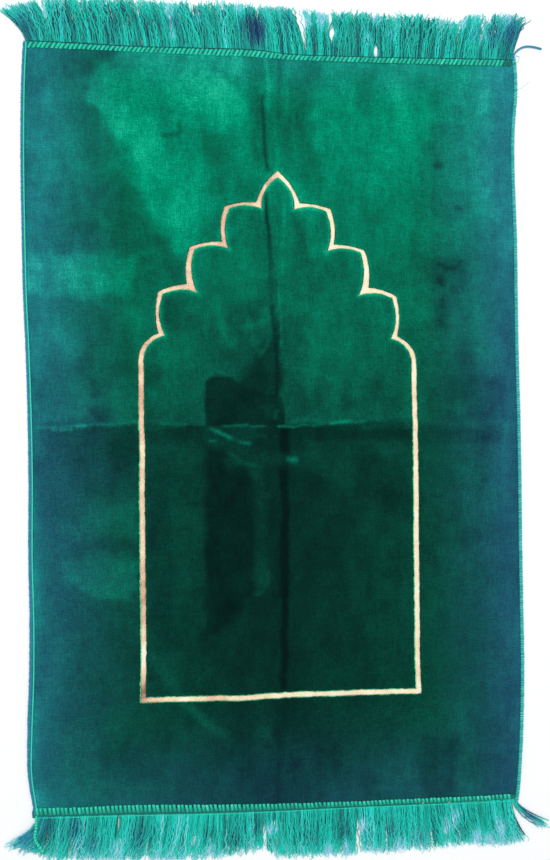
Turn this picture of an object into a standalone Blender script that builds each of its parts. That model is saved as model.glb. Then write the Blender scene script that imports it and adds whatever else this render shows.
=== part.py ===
"""A woven velvet prayer rug, laid flat, with a fringed heading at each end.

The arch end points to +Y. The rug lies on z = 0 with the middle of its woven body over the origin.
Sizes are in millimetres in the tables and turned into metres by MM.
"""

import math
import random
from collections import namedtuple

import bmesh
import bpy
import numpy as np
from mathutils import Vector
from mathutils.geometry import delaunay_2d_cdt

MM = 0.001
CLEARANCE = 0.3  # between neighbouring pieces

# ---------------------------------------------------------------- driving dimensions, in mm

VELVET_THICKNESS = 3.0  # woven ground and pile together
LINE_DEPTH = 1.0  # the pile-less arch line lies this far under the pile
LINE_WALL_RUN = 0.4  # the pile leans this far into the line
BINDING_WIDTH = 4.8
STRANDS_PER_END = 120
STRAND_WIDTH = (3.7, 3.3, 2.8, 2.3)  # in even steps from the root to the tip
STRAND_HEIGHT = (2.0, 1.9, 1.7, 1.3)
EARLY_LEAN = 0.35  # the share of its lean that a strand takes evenly, the rest growing to the tip
HEADING_HEIGHT = 2.0
REACH_SPREAD = 1.6  # how unevenly the strands are cut
CUT_SEED = 7
HALF_WIDTH = 350.0  # of the woven body, roundly: its true edges are in the tables
HALF_LENGTH = 530.0

# Where the side edges run, as distances from the long middle line.
SideRow = namedtuple("SideRow", "y left right")
SIDES = (
    SideRow(-545, 345.5, 351.5),
    SideRow(-522, 348.5, 354.0),
    SideRow(-487, 353.7, 356.6),
    SideRow(-416, 354.4, 359.6),
    SideRow(-346, 351.7, 360.4),
    SideRow(-262, 350.2, 359.2),
    SideRow(-177, 351.0, 357.8),
    SideRow(-65, 349.9, 356.7),
    SideRow(5, 350.2, 355.6),
    SideRow(116, 352.3, 352.8),
    SideRow(186, 354.8, 351.8),
    SideRow(269, 356.1, 350.8),
    SideRow(436, 356.2, 347.4),
    SideRow(498, 354.5, 351.4),
    SideRow(519, 353.4, 351.0),
    SideRow(545, 351.8, 348.2),
)

# Each end: where the velvet stops and where the heading stops, as distances from the cross line.
EndRow = namedtuple("EndRow", "x seam edge")
ARCH_END = (
    EndRow(-350, 535.2, 544.5),
    EndRow(-275, 536.1, 545.3),
    EndRow(-200, 535.6, 543.6),
    EndRow(-108, 535.0, 543.7),
    EndRow(-23, 532.7, 540.9),
    EndRow(0, 530.8, 538.2),
    EndRow(99, 528.3, 536.3),
    EndRow(164, 528.2, 536.5),
    EndRow(260, 528.6, 537.8),
    EndRow(350, 529.4, 538.6),
)
FOOT_END = (
    EndRow(-350, 530.1, 540.6),
    EndRow(-284, 531.7, 542.1),
    EndRow(-224, 532.0, 543.3),
    EndRow(-125, 534.7, 546.0),
    EndRow(-25, 537.0, 547.1),
    EndRow(94, 537.1, 546.8),
    EndRow(198, 536.2, 546.7),
    EndRow(303, 536.4, 545.6),
    EndRow(350, 535.5, 544.8),
)

# A heading's stitched ridge: where in its width it stands, how high it is on a stitch and between
# two stitches, and how far a stitch leans across the strip.
Heading = namedtuple("Heading", "ridge_share stitch_height gap_height slant")
ARCH_HEADING = Heading(0.5, 3.7, 2.8, 1.6)
FOOT_HEADING = Heading(0.3, 4.0, 2.6, 0.0)

# The fringe hangs in locks. A lock's strands leave the heading from root_from to root_to, and end
# from tip_from to tip_to, reaching out as far as reach_from to reach_to.
Lock = namedtuple("Lock", "root_from root_to tip_from tip_to reach_from reach_to")
ARCH_LOCKS = (
    Lock(-347, -316, -381, -330, 45, 56),
    Lock(-316, -254, -321, -267, 59, 61),
    Lock(-254, -187, -265, -198, 61, 64),
    Lock(-187, -145, -194, -158, 62, 62),
    Lock(-145, -108, -150, -124, 59, 62),
    Lock(-108, -63, -117, -69, 59, 64),
    Lock(-63, -20, -66, -30, 61, 63),
    Lock(-20, 43, -25, 22, 63, 66),
    Lock(43, 77, 40, 70, 66, 58),
    Lock(77, 141, 81, 137, 61, 64),
    Lock(141, 179, 142, 177, 59, 60),
    Lock(179, 259, 181, 264, 64, 52),
    Lock(259, 297, 271, 295, 61, 63),
    Lock(297, 309, 302, 310, 50, 56),
    Lock(309, 343, 315, 364, 65, 63),
)
FOOT_LOCKS = (
    Lock(-341, -323, -380, -341, 39, 51),
    Lock(-323, -291, -335, -300, 54, 59),
    Lock(-291, -230, -297, -238, 59, 61),
    Lock(-230, -186, -233, -193, 60, 62),
    Lock(-186, -120, -189, -132, 62, 62),
    Lock(-120, -98, -127, -105, 62, 62),
    Lock(-98, -23, -101, -25, 63, 50),
    Lock(-23, -7, -19, -9, 52, 58),
    Lock(-7, 112, -4, 106, 64, 66),
    Lock(112, 153, 125, 154, 61, 65),
    Lock(153, 219, 157, 218, 64, 64),
    Lock(219, 241, 222, 241, 61, 61),
    Lock(241, 279, 248, 284, 60, 60),
    Lock(279, 309, 289, 309, 64, 61),
    Lock(309, 340, 314, 361, 64, 60),
    Lock(340, 347, 388, 395, 42, 40),
)

# One half of the arch line. Each row is a corner of its outer and of its inner edge, and how far the
# edge bows out on its way from there to the next corner.
ArchCorner = namedtuple("ArchCorner", "out_x out_y out_bow in_x in_y in_bow")
ARCH = (
    ArchCorner(0.0, 372.8, 4.6, 0.0, 362.8, 7.6),
    ArchCorner(31.3, 327.4, 2.1, 22.9, 317.0, 5.2),
    ArchCorner(76.3, 320.0, 3.9, 69.7, 316.0, 6.3),
    ArchCorner(81.0, 269.8, 2.1, 70.0, 258.6, 5.2),
    ArchCorner(125.6, 261.4, 3.9, 118.9, 257.6, 6.3),
    ArchCorner(130.4, 208.8, 2.1, 115.2, 196.2, 5.2),
    ArchCorner(170.4, 197.8, 3.9, 163.5, 194.0, 6.6),
    ArchCorner(171.2, 139.2, 9.0, 161.0, 135.6, 10.5),
    ArchCorner(199.6, 94.0, 0.0, 191.4, 94.0, 0.0),
    ArchCorner(202.6, -382.4, 0.0, 194.4, -374.2, 0.0),
)
ARCH_POINT_SPACING = 13.0
ARCH_STRAIGHT_SPACING = 40.0
FEWEST_ARC_PARTS = 4

# The weave is pulled a little: the arch's middle line wanders to +X towards the foot, and its right
# half sits lower than its left.
ARCH_DRIFT = 3.6
ARCH_SKEW = -0.011
ARCH_SKEW_GROWS_OVER = 200.0  # from nothing at the foot line to its full value this far above it
ARCH_MIDDLE_AT_TOP = 0.8

# The rug was folded in four. Each crease is given where it runs, and by its cross-section.
CreaseRow = namedtuple("CreaseRow", "along across")
CROSS_CREASE = (
    CreaseRow(-350, 7.5),
    CreaseRow(-306, 3.6),
    CreaseRow(-242, 9.7),
    CreaseRow(-156, 9.3),
    CreaseRow(-100, 6.3),
    CreaseRow(0, 7.0),
    CreaseRow(47, 9.0),
    CreaseRow(122, 12.4),
    CreaseRow(193, 8.0),
    CreaseRow(352, 7.7),
)
LONG_CREASE = (
    CreaseRow(-530, -3.2),
    CreaseRow(-376, 7.4),
    CreaseRow(-227, 10.1),
    CreaseRow(-45, 9.5),
    CreaseRow(4, 8.0),
    CreaseRow(65, 2.6),
    CreaseRow(131, -2.2),
    CreaseRow(222, -6.8),
    CreaseRow(303, -12.9),
    CreaseRow(401, -14.8),
    CreaseRow(529, -18.9),
)
CreaseSection = namedtuple("CreaseSection", "across rise")
CROSS_SECTION = (
    CreaseSection(-20.0, 0.0),
    CreaseSection(-8.0, 0.5),
    CreaseSection(-2.5, 1.7),
    CreaseSection(1.5, 2.2),
    CreaseSection(8.0, 1.1),
    CreaseSection(20.0, 0.0),
)
LONG_SECTION = (
    CreaseSection(-16.0, 0.0),
    CreaseSection(-5.0, 0.6),
    CreaseSection(0.0, -0.6),
    CreaseSection(5.0, 1.0),
    CreaseSection(11.0, 0.4),
    CreaseSection(22.0, 0.0),
)
CREASE_FADE = 34.0  # the creases flatten over this length before they reach the sewn edges
CREASE_CARRIES = 0.3  # where the cross crease stands higher than this, the long one doesn't add to it

EDGE_SPACING = 25.0
CREASE_SPACING = 26.0
FILL_SPACING = 75.0
ROOM_ROUND_LINE = 5.0  # no free point of the velvet lies nearer than this to the arch line
ROOM_AT_EDGE = 4.0  # or nearer than this to the velvet's own edge
ROOM_ON_LINE = 2.5  # points on the arch line's edges stay this far apart

# The cross-section of a bound side: how far in from the rug's outline, and how high.
BindingCorner = namedtuple("BindingCorner", "inwards height")
BINDING_SECTION = (
    BindingCorner(0.0, 0.0),
    BindingCorner(0.0, 2.5),
    BindingCorner(1.1, 3.5),
    BindingCorner(3.2, 3.6),
    BindingCorner(BINDING_WIDTH, 2.7),
    BindingCorner(BINDING_WIDTH, 0.0),
)

# The loose ends of the edge thread, as points along their middle.
TailPoint = namedtuple("TailPoint", "x y z")
FOOT_TAIL_DIAMETER = 4.2
FOOT_TAIL = (
    TailPoint(-343.2, -536.8, 2.4),
    TailPoint(-343.4, -541.0, 3.3),
    TailPoint(-343.3, -546.0, 4.3),
    TailPoint(-343.2, -552.0, 4.5),
    TailPoint(-344.5, -559.5, 4.5),
    TailPoint(-345.2, -566.0, 4.5),
    TailPoint(-343.0, -572.5, 4.5),
    TailPoint(-339.4, -578.5, 4.4),
    TailPoint(-334.2, -586.0, 4.3),
)
ARCH_TAIL_DIAMETER = 2.8
ARCH_TAIL = (
    TailPoint(346.0, 543.1, 1.5),
    TailPoint(347.2, 547.0, 1.5),
    TailPoint(351.6, 552.6, 1.5),
    TailPoint(358.4, 557.2, 1.5),
    TailPoint(366.5, 559.2, 1.5),
    TailPoint(377.0, 558.6, 1.5),
    TailPoint(388.0, 556.2, 1.5),
)
LEFT_BINDING_ENDS = (-536.4, 544.4)
RIGHT_BINDING_ENDS = (-545.4, 542.6)

# ---------------------------------------------------------------- finishes

SMOOTH_BELOW = 50.0  # degrees between two faces that are shaded as one rounded surface
VELVET_GREEN = (0.010, 0.105, 0.070, 1.0)
GOLD_WEAVE = (0.62, 0.42, 0.25, 1.0)
FRINGE_TEAL = (0.020, 0.350, 0.250, 1.0)
EDGE_TEAL = (0.020, 0.300, 0.240, 1.0)


def make_material(name, colour, roughness, sheen=0.0):
    """A cloth finish: a plain colour, matt, with a sheen where there is pile."""
    material = bpy.data.materials.new(name)
    material.use_nodes = True
    shader = material.node_tree.nodes["Principled BSDF"]
    shader.inputs["Base Color"].default_value = colour
    shader.inputs["Roughness"].default_value = roughness
    shader.inputs["Metallic"].default_value = 0.0
    shader.inputs["Sheen Weight"].default_value = sheen
    material.diffuse_color = colour
    return material


# ---------------------------------------------------------------- curves through the tables


def column(rows, name):
    return np.array([getattr(row, name) for row in rows], float)


def eased(xs, ys, x):
    """A smooth curve through the points (xs, ys), read at x."""
    slopes = np.gradient(ys, xs)
    i = int(np.clip(np.searchsorted(xs, x) - 1, 0, len(xs) - 2))
    span = xs[i + 1] - xs[i]
    t = min(max((x - xs[i]) / span, 0.0), 1.0)
    start = (2 * t**3 - 3 * t**2 + 1) * ys[i] + (t**3 - 2 * t**2 + t) * span * slopes[i]
    end = (3 * t**2 - 2 * t**3) * ys[i + 1] + (t**3 - t**2) * span * slopes[i + 1]
    return float(start + end)


def side_x(side, y):
    """The outermost x of the rug at this y: side is -1 for the left and +1 for the right."""
    name = "left" if side < 0 else "right"
    return side * eased(column(SIDES, "y"), column(SIDES, name), y)


def velvet_x(side, y):
    return side_x(side, y) - side * (BINDING_WIDTH + CLEARANCE)


def end_y(rows, name, x):
    """How far from the cross line an end's seam or edge lies at this x."""
    return eased(column(rows, "x"), column(rows, name), x)


def cross_crease_y(x):
    return eased(column(CROSS_CREASE, "along"), column(CROSS_CREASE, "across"), x)


def long_crease_x(y):
    return eased(column(LONG_CREASE, "along"), column(LONG_CREASE, "across"), y)


def section_rise(section, across):
    return float(np.interp(across, column(section, "across"), column(section, "rise")))


def fade(distance):
    """From 0 at a sewn edge to 1 at CREASE_FADE inside it, smoothly."""
    t = min(max(distance / CREASE_FADE, 0.0), 1.0)
    return t * t * (3 - 2 * t)


def relief(x, y):
    """How far the creases lift the cloth at (x, y), or sink it where this is negative."""
    to_side = min(velvet_x(1, y) - x, x - velvet_x(-1, y))
    to_end = min(end_y(ARCH_END, "seam", x) - y, y + end_y(FOOT_END, "seam", x))
    cross = section_rise(CROSS_SECTION, y - cross_crease_y(x)) * fade(to_side)
    long = section_rise(LONG_SECTION, x - long_crease_x(y)) * fade(to_end)
    return max(cross, long) if cross > CREASE_CARRIES else cross + long


# ---------------------------------------------------------------- the velvet body


def pulled(x, y):
    """A point of the arch as it was drawn, moved to where the pulled weave holds it."""
    down = (ARCH[0].out_y - y) / (ARCH[0].out_y - ARCH[-1].out_y)
    drop = ARCH_SKEW * x * min(1.0, max(0.0, (y - ARCH[-1].out_y) / ARCH_SKEW_GROWS_OVER))
    return Vector((x + ARCH_MIDDLE_AT_TOP + ARCH_DRIFT * down, y + drop))


def bowed_span(start, end, bow):
    """Points from start towards end, without end, on an arc that bows out to its left by bow."""
    chord = end - start
    spacing = ARCH_POINT_SPACING if bow else ARCH_STRAIGHT_SPACING
    parts = max(FEWEST_ARC_PARTS if bow else 1, round(chord.length / spacing))
    outward = Vector((-chord.y, chord.x)).normalized()
    points = []
    for k in range(parts):
        t = k / parts
        points.append(start + chord * t + outward * (4 * bow * t * (1 - t)))
    return points


def arch_loop(edge):
    """The outer or inner edge of the arch line as a closed loop, clockwise from its apex."""
    half = [Vector((getattr(row, edge + "_x"), getattr(row, edge + "_y"))) for row in ARCH]
    bows = [getattr(row, edge + "_bow") for row in ARCH]
    right = []
    for start, end, bow in zip(half, half[1:], bows):
        right += bowed_span(start, end, bow)
    bottom = bowed_span(half[-1], Vector((-half[-1].x, half[-1].y)), 0.0)
    left = [Vector((-p.x, p.y)) for p in reversed(right[1:] + [half[-1]])]
    return creased([pulled(p.x, p.y) for p in right + bottom + left])


def creased(loop):
    """The loop with a further point wherever it crosses a row of a crease's cross-section."""
    points = []
    for a, b in zip(loop, loop[1:] + loop[:1]):
        points.append(a)
        middle = (a + b) / 2
        shares = []
        if abs(b.y - a.y) > abs(b.x - a.x):
            rows = [cross_crease_y(middle.x) + row.across for row in CROSS_SECTION]
            shares += [(y - a.y) / (b.y - a.y) for y in rows]
        if abs(b.x - a.x) > ROOM_ON_LINE:
            rows = [long_crease_x(middle.y) + row.across for row in LONG_SECTION]
            shares += [(x - a.x) / (b.x - a.x) for x in rows]
        room = ROOM_ON_LINE / (b - a).length
        last = 0.0
        for share in sorted(shares):
            if last + room < share < 1.0 - room:
                points.append(a.lerp(b, share))
                last = share
    return points


def moved_in(loop, by):
    """The clockwise loop, moved to its inside by this much. A negative value moves it outwards."""
    moved = []
    for before, here, after in zip(loop[-1:] + loop[:-1], loop, loop[1:] + loop[:1]):
        arriving = (here - before).normalized()
        leaving = (after - here).normalized()
        normals = Vector((arriving.y, -arriving.x)) + Vector((leaving.y, -leaving.x))
        middle = normals.normalized()
        stretch = 1.0 / max(0.3, middle.dot(Vector((leaving.y, -leaving.x))))
        moved.append(here + middle * by * stretch)
    return moved


def velvet_outline():
    """The velvet's own edge, inside the bindings and the headings, counter-clockwise."""
    top_y = end_y(ARCH_END, "seam", 0) - CLEARANCE
    foot_y = -end_y(FOOT_END, "seam", 0) + CLEARANCE
    across = np.linspace(-1.0, 1.0, round(2 * HALF_WIDTH / EDGE_SPACING) + 1)
    along = np.linspace(foot_y, top_y, round((top_y - foot_y) / EDGE_SPACING) + 1)[1:-1]
    foot = []
    top = []
    for share in across:
        foot_x = velvet_x(1 if share > 0 else -1, foot_y) * abs(share)
        top_x = velvet_x(1 if share > 0 else -1, top_y) * abs(share)
        foot.append(Vector((foot_x, -end_y(FOOT_END, "seam", foot_x) + CLEARANCE)))
        top.append(Vector((top_x, end_y(ARCH_END, "seam", top_x) - CLEARANCE)))
    right = [Vector((velvet_x(1, y), y)) for y in along]
    left = [Vector((velvet_x(-1, y), y)) for y in along]
    return foot + right + top[::-1] + left[::-1]


def inside_outline(x, y, margin):
    clear_x = velvet_x(-1, y) + margin < x < velvet_x(1, y) - margin
    clear_y = margin - end_y(FOOT_END, "seam", x) < y < end_y(ARCH_END, "seam", x) - margin
    return clear_x and clear_y


def crease_points():
    """Points along every row of both creases' cross-sections, and a coarse filling between them."""
    points = []
    for x in np.arange(-HALF_WIDTH, HALF_WIDTH, CREASE_SPACING):
        points += [Vector((x, cross_crease_y(x) + row.across)) for row in CROSS_SECTION]
    for y in np.arange(-HALF_LENGTH, HALF_LENGTH, CREASE_SPACING):
        if abs(y - cross_crease_y(0)) > CROSS_SECTION[-1].across:
            points += [Vector((long_crease_x(y) + row.across, y)) for row in LONG_SECTION]
    for x in np.arange(FILL_SPACING / 4 - HALF_WIDTH, HALF_WIDTH, FILL_SPACING):
        for y in np.arange(FILL_SPACING / 2 - HALF_LENGTH, HALF_LENGTH, FILL_SPACING):
            if abs(x) > FILL_SPACING / 2 and abs(y) > FILL_SPACING / 2:
                points.append(Vector((x, y)))
    return [p for p in points if inside_outline(p.x, p.y, ROOM_AT_EDGE)]


def distance_to_loop(point, loop):
    nearest = math.inf
    for a, b in zip(loop, loop[1:] + loop[:1]):
        along = (b - a) * max(0.0, min(1.0, (point - a).dot(b - a) / (b - a).length_squared))
        nearest = min(nearest, (point - a - along).length)
    return nearest


def triangulated(loops, free_points):
    """A flat net over the first loop that keeps every loop's edges: (points, triangles)."""
    points = []
    edges = []
    for loop in loops:
        first = len(points)
        points += loop
        edges += [(first + k, first + (k + 1) % len(loop)) for k in range(len(loop))]
    points += free_points
    net = delaunay_2d_cdt(points, edges, [], 1, 1e-6)
    return net[0], net[2]


def velvet_field(materials):
    """The velvet as one closed sheet: the pile with the sunk arch line, and the woven back."""
    outline = velvet_outline()
    outer = arch_loop("out")
    inner = arch_loop("in")
    floor_outer = moved_in(outer, LINE_WALL_RUN)
    floor_inner = moved_in(inner, -LINE_WALL_RUN)
    free = crease_points()
    face_free = []
    for p in free:
        if min(distance_to_loop(p, outer), distance_to_loop(p, inner)) > ROOM_ROUND_LINE:
            face_free.append(p)
    sunk = {(round(p.x, 3), round(p.y, 3)) for p in floor_outer + floor_inner}

    mesh = bmesh.new()
    face_points, face_triangles = triangulated(
        [outline, outer, floor_outer, floor_inner, inner], face_free
    )
    face = []
    for p in face_points:
        depth = LINE_DEPTH if (round(p.x, 3), round(p.y, 3)) in sunk else 0.0
        height = VELVET_THICKNESS + relief(p.x, p.y) - depth
        face.append(mesh.verts.new((p.x * MM, p.y * MM, height * MM)))
    on_face = len(face)
    for a, b, c in face_triangles:
        triangle = mesh.faces.new((face[a], face[b], face[c]))
        corners = [(round(face_points[i].x, 3), round(face_points[i].y, 3)) for i in (a, b, c)]
        triangle.material_index = 1 if all(corner in sunk for corner in corners) else 0

    back_points, back_triangles = triangulated([outline], free)
    back = []
    for p in back_points:
        lift = max(0.0, relief(p.x, p.y))
        back.append(mesh.verts.new((p.x * MM, p.y * MM, lift * MM)))
    for a, b, c in back_triangles:
        mesh.faces.new((back[c], back[b], back[a]))

    around = len(outline)
    for k in range(around):
        after = (k + 1) % around
        mesh.faces.new((back[k], back[after], face[after], face[k]))
    print("velvet_field:", on_face, "points on its face,", len(mesh.faces), "faces")
    return finished(mesh, "velvet_field", materials)


def finished(mesh, name, materials):
    """The bmesh as an object in the scene, its faces pointing out and its round parts smooth."""
    bmesh.ops.recalc_face_normals(mesh, faces=mesh.faces)
    data = bpy.data.meshes.new(name)
    mesh.to_mesh(data)
    mesh.free()
    for material in materials:
        data.materials.append(material)
    data.shade_smooth()
    data.set_sharp_from_angle(angle=math.radians(SMOOTH_BELOW))
    made = bpy.data.objects.new(name, data)
    bpy.context.collection.objects.link(made)
    return made


# ---------------------------------------------------------------- the fringed headings


def lock_of(locks, x):
    """The lock that a root at x belongs to, and how far along the lock it is."""
    for lock in locks:
        if x <= lock.root_to:
            break
    share = (x - lock.root_from) / (lock.root_to - lock.root_from)
    return lock, min(max(share, 0.0), 1.0)


def strand_path(locks, root_x, chance):
    """(sideways, outwards) steps of a strand's middle line from its root to its tip."""
    lock, share = lock_of(locks, root_x)
    tip_x = lock.tip_from + (lock.tip_to - lock.tip_from) * share
    reach = lock.reach_from + (lock.reach_to - lock.reach_from) * share
    reach += chance.uniform(-REACH_SPREAD, REACH_SPREAD)
    lean = tip_x - root_x
    steps = []
    for t in np.linspace(0.0, 1.0, len(STRAND_WIDTH)):
        steps.append((lean * (EARLY_LEAN * t + (1 - EARLY_LEAN) * t * t), reach * t))
    return steps


def strand_rings(path, root_x, root_y, out):
    """Four corners, top left, top right, foot right and foot left, at each step after the root."""
    rings = []
    for k in range(1, len(path)):
        ahead = Vector(path[k]) - Vector(path[k - 1])
        across = Vector((ahead.y, -ahead.x)).normalized() * STRAND_WIDTH[k] / 2
        x = root_x + path[k][0]
        y = path[k][1]
        ring = []
        for side, z in ((-1, STRAND_HEIGHT[k]), (1, STRAND_HEIGHT[k]), (1, 0.0), (-1, 0.0)):
            place = (x + side * across.x, root_y + out * (y + side * across.y), z)
            ring.append(tuple(value * MM for value in place))
        rings.append(ring)
    return rings


def heading_columns(low_x, high_x):
    """x of every cross-section of a heading: its ends, and the two sides of each strand."""
    pitch = (high_x - low_x) / STRANDS_PER_END
    columns = [low_x]
    for k in range(STRANDS_PER_END):
        middle = low_x + (k + 0.5) * pitch
        columns += [middle - STRAND_WIDTH[0] / 2, middle + STRAND_WIDTH[0] / 2]
    return columns + [high_x]


def fringed_heading(name, rows, out, locks, heading, materials):
    """A heading strip with its stitched ridge, and the strands that grow out of its edge.

    out is 1 at the arch end and -1 at the foot end.
    """
    chance = random.Random(CUT_SEED + out)
    low_x = max(velvet_x(-1, out * rows[0].seam), velvet_x(-1, out * rows[0].edge))
    high_x = min(velvet_x(1, out * rows[-1].seam), velvet_x(1, out * rows[-1].edge))
    columns = heading_columns(low_x, high_x)
    mesh = bmesh.new()
    sections = []
    for k, x in enumerate(columns):
        at_end = k in (0, len(columns) - 1)
        seam = end_y(rows, "seam", x)
        edge = end_y(rows, "edge", x)
        ridge = seam + (edge - seam) * heading.ridge_share
        lean = 0.0 if at_end else heading.slant
        ridge_height = heading.stitch_height if k % 2 else heading.gap_height
        profile = (
            (x - lean, seam, 0.0),
            (x - lean, seam, HEADING_HEIGHT),
            (x - lean / 2, ridge, HEADING_HEIGHT if at_end else ridge_height),
            (x, edge, HEADING_HEIGHT),
            (x, edge, 0.0),
        )
        sections.append([mesh.verts.new((px * MM, out * py * MM, z * MM)) for px, py, z in profile])
    for k, (here, after) in enumerate(zip(sections, sections[1:])):
        grows = k % 2 == 1
        for a, b in ((0, 1), (1, 2), (2, 3), (3, 4), (4, 0)):
            if not (grows and (a, b) == (3, 4)):
                mesh.faces.new((here[a], here[b], after[b], after[a]))
        if grows:
            root_x = (columns[k] + columns[k + 1]) / 2
            root_y = out * end_y(rows, "edge", root_x)
            ring = [here[3], after[3], after[4], here[4]]
            for corners in strand_rings(strand_path(locks, root_x, chance), root_x, root_y, out):
                following = [mesh.verts.new(corner) for corner in corners]
                for a in range(4):
                    b = (a + 1) % 4
                    mesh.faces.new((ring[a], ring[b], following[b], following[a]))
                ring = following
            mesh.faces.new(ring)
    mesh.faces.new(sections[0])
    mesh.faces.new(reversed(sections[-1]))
    print(name + ":", STRANDS_PER_END, "strands,", len(mesh.faces), "faces")
    return finished(mesh, name, materials)


# ---------------------------------------------------------------- the bound sides


def side_binding(name, side, ends, materials):
    """The overlocked edge of a long side, a low rounded strip outside the velvet."""
    mesh = bmesh.new()
    rings = []
    for y in np.linspace(ends[0], ends[1], round((ends[1] - ends[0]) / EDGE_SPACING) + 1):
        edge = side_x(side, y)
        ring = []
        for row in BINDING_SECTION:
            place = (edge - side * row.inwards, y, row.height)
            ring.append(mesh.verts.new([value * MM for value in place]))
        rings.append(ring)
    for here, after in zip(rings, rings[1:]):
        for a in range(len(BINDING_SECTION)):
            b = (a + 1) % len(BINDING_SECTION)
            mesh.faces.new((here[a], here[b], after[b], after[a]))
    mesh.faces.new(rings[0])
    mesh.faces.new(reversed(rings[-1]))
    return finished(mesh, name, materials)


def smooth_route(points, between):
    """A smooth curve through hand-set points, with some points read off between each two."""
    padded = [points[0] * 2 - points[1]] + points + [points[-1] * 2 - points[-2]]
    route = []
    for p0, p1, p2, p3 in zip(padded, padded[1:], padded[2:], padded[3:]):
        for k in range(between):
            t = k / between
            bend = (p0 * 2 - p1 * 5 + p2 * 4 - p3) * t * t
            twist = (p1 * 3 - p0 - p2 * 3 + p3) * t * t * t
            route.append((p1 * 2 + (p2 - p0) * t + bend + twist) / 2)
    return route + [points[-1]]


def thread_tail(name, rows, diameter, material):
    """A loose end of the edge thread, as a tube with closed ends."""
    route = smooth_route([Vector(row) * MM for row in rows], 2)
    curve = bpy.data.curves.new(name, "CURVE")
    curve.dimensions = "3D"
    curve.bevel_depth = diameter / 2 * MM
    curve.bevel_resolution = 2
    curve.use_fill_caps = True
    spline = curve.splines.new("POLY")
    spline.points.add(len(route) - 1)
    for point, place in zip(spline.points, route):
        point.co = (*place, 1.0)
    curve.materials.append(material)
    made = bpy.data.objects.new(name, curve)
    bpy.context.collection.objects.link(made)
    return made


# ---------------------------------------------------------------- the whole rug


def clear_scene():
    for old in list(bpy.data.objects):
        bpy.data.objects.remove(old, do_unlink=True)


def main():
    clear_scene()
    velvet = make_material("velvet_pile", VELVET_GREEN, 0.9, sheen=0.6)
    gold = make_material("gold_weave", GOLD_WEAVE, 0.6)
    yarn = make_material("fringe_yarn", FRINGE_TEAL, 0.75)
    thread = make_material("edge_thread", EDGE_TEAL, 0.7)
    velvet_field([velvet, gold])
    fringed_heading("fringe_top", ARCH_END, 1, ARCH_LOCKS, ARCH_HEADING, [yarn])
    fringed_heading("fringe_bottom", FOOT_END, -1, FOOT_LOCKS, FOOT_HEADING, [yarn])
    side_binding("binding_left", -1, LEFT_BINDING_ENDS, [thread])
    side_binding("binding_right", 1, RIGHT_BINDING_ENDS, [thread])
    thread_tail("thread_tail_bottom_left", FOOT_TAIL, FOOT_TAIL_DIAMETER, thread)
    thread_tail("thread_tail_top_right", ARCH_TAIL, ARCH_TAIL_DIAMETER, thread)


main()
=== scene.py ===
# %% [markdown]
# # A velvet prayer rug on a pale floor
#
# The rug is one piece of woven velvet with a thin gold arch, overlocked long sides and a fringe at
# each end. The solids that carry it are loaded first and stay as they are. Every cell after that
# makes one thing that a maker would make: the pile, the gold line, the yarns, the stitches.

import math
import random
from collections import namedtuple

import bpy
import numpy as np
from mathutils import Euler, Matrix, Vector, kdtree, noise
from mathutils.geometry import delaunay_2d_cdt


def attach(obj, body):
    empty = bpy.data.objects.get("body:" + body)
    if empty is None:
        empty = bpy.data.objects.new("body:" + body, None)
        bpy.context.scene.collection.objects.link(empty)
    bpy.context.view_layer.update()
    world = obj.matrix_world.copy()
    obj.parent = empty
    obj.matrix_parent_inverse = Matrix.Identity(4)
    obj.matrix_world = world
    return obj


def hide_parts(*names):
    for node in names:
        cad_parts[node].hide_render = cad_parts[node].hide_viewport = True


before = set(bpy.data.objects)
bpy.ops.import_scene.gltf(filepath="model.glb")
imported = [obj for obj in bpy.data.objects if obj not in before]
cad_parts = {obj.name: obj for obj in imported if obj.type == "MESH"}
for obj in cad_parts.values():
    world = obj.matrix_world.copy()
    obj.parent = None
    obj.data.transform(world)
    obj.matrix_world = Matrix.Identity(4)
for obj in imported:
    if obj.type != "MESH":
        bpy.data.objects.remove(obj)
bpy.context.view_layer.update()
MM = 0.001
print("solids loaded:", sorted(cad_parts))

# %% [markdown]
# ## The camera
#
# The photo is taken from a metre above, a little off square. The same numbers tell where a point of the
# photo lies on the rug, which is how marks are placed later. A camera set by eye wouldn't do for that.

# %% Set the camera
PHOTO_WIDE, PHOTO_TALL = 550, 860
FOCAL_PIXELS = 700.0
SENSOR_WIDE = 36.0
CAMERA_PLACE = Vector((-0.07382, 0.01376, 0.99952))
CAMERA_TURN = Euler([math.radians(a) for a in (-0.617, -3.962, -0.309)])
VELVET_THICKNESS = 3.0


def in_scene(name, data):
    made = bpy.data.objects.new(name, data)
    bpy.context.scene.collection.objects.link(made)
    return made


camera_data = bpy.data.cameras.new("camera_above")
camera_data.sensor_width = SENSOR_WIDE
camera_data.lens = SENSOR_WIDE * FOCAL_PIXELS / PHOTO_TALL
camera = in_scene("camera_above", camera_data)
camera.location = CAMERA_PLACE
camera.rotation_euler = CAMERA_TURN
bpy.context.scene.camera = camera
TURN = np.array(CAMERA_TURN.to_matrix())


def on_rug(px, py, height=VELVET_THICKNESS):
    """Where a point of the photo lies on the rug, in mm, at this height."""
    right, up = (px - PHOTO_WIDE / 2) / FOCAL_PIXELS, (PHOTO_TALL / 2 - py) / FOCAL_PIXELS
    ray = TURN @ np.array([right, up, -1.0])
    reach = (height * MM - CAMERA_PLACE.z) / ray[2]
    return (CAMERA_PLACE.x + ray[0] * reach) / MM, (CAMERA_PLACE.y + ray[1] * reach) / MM


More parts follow.
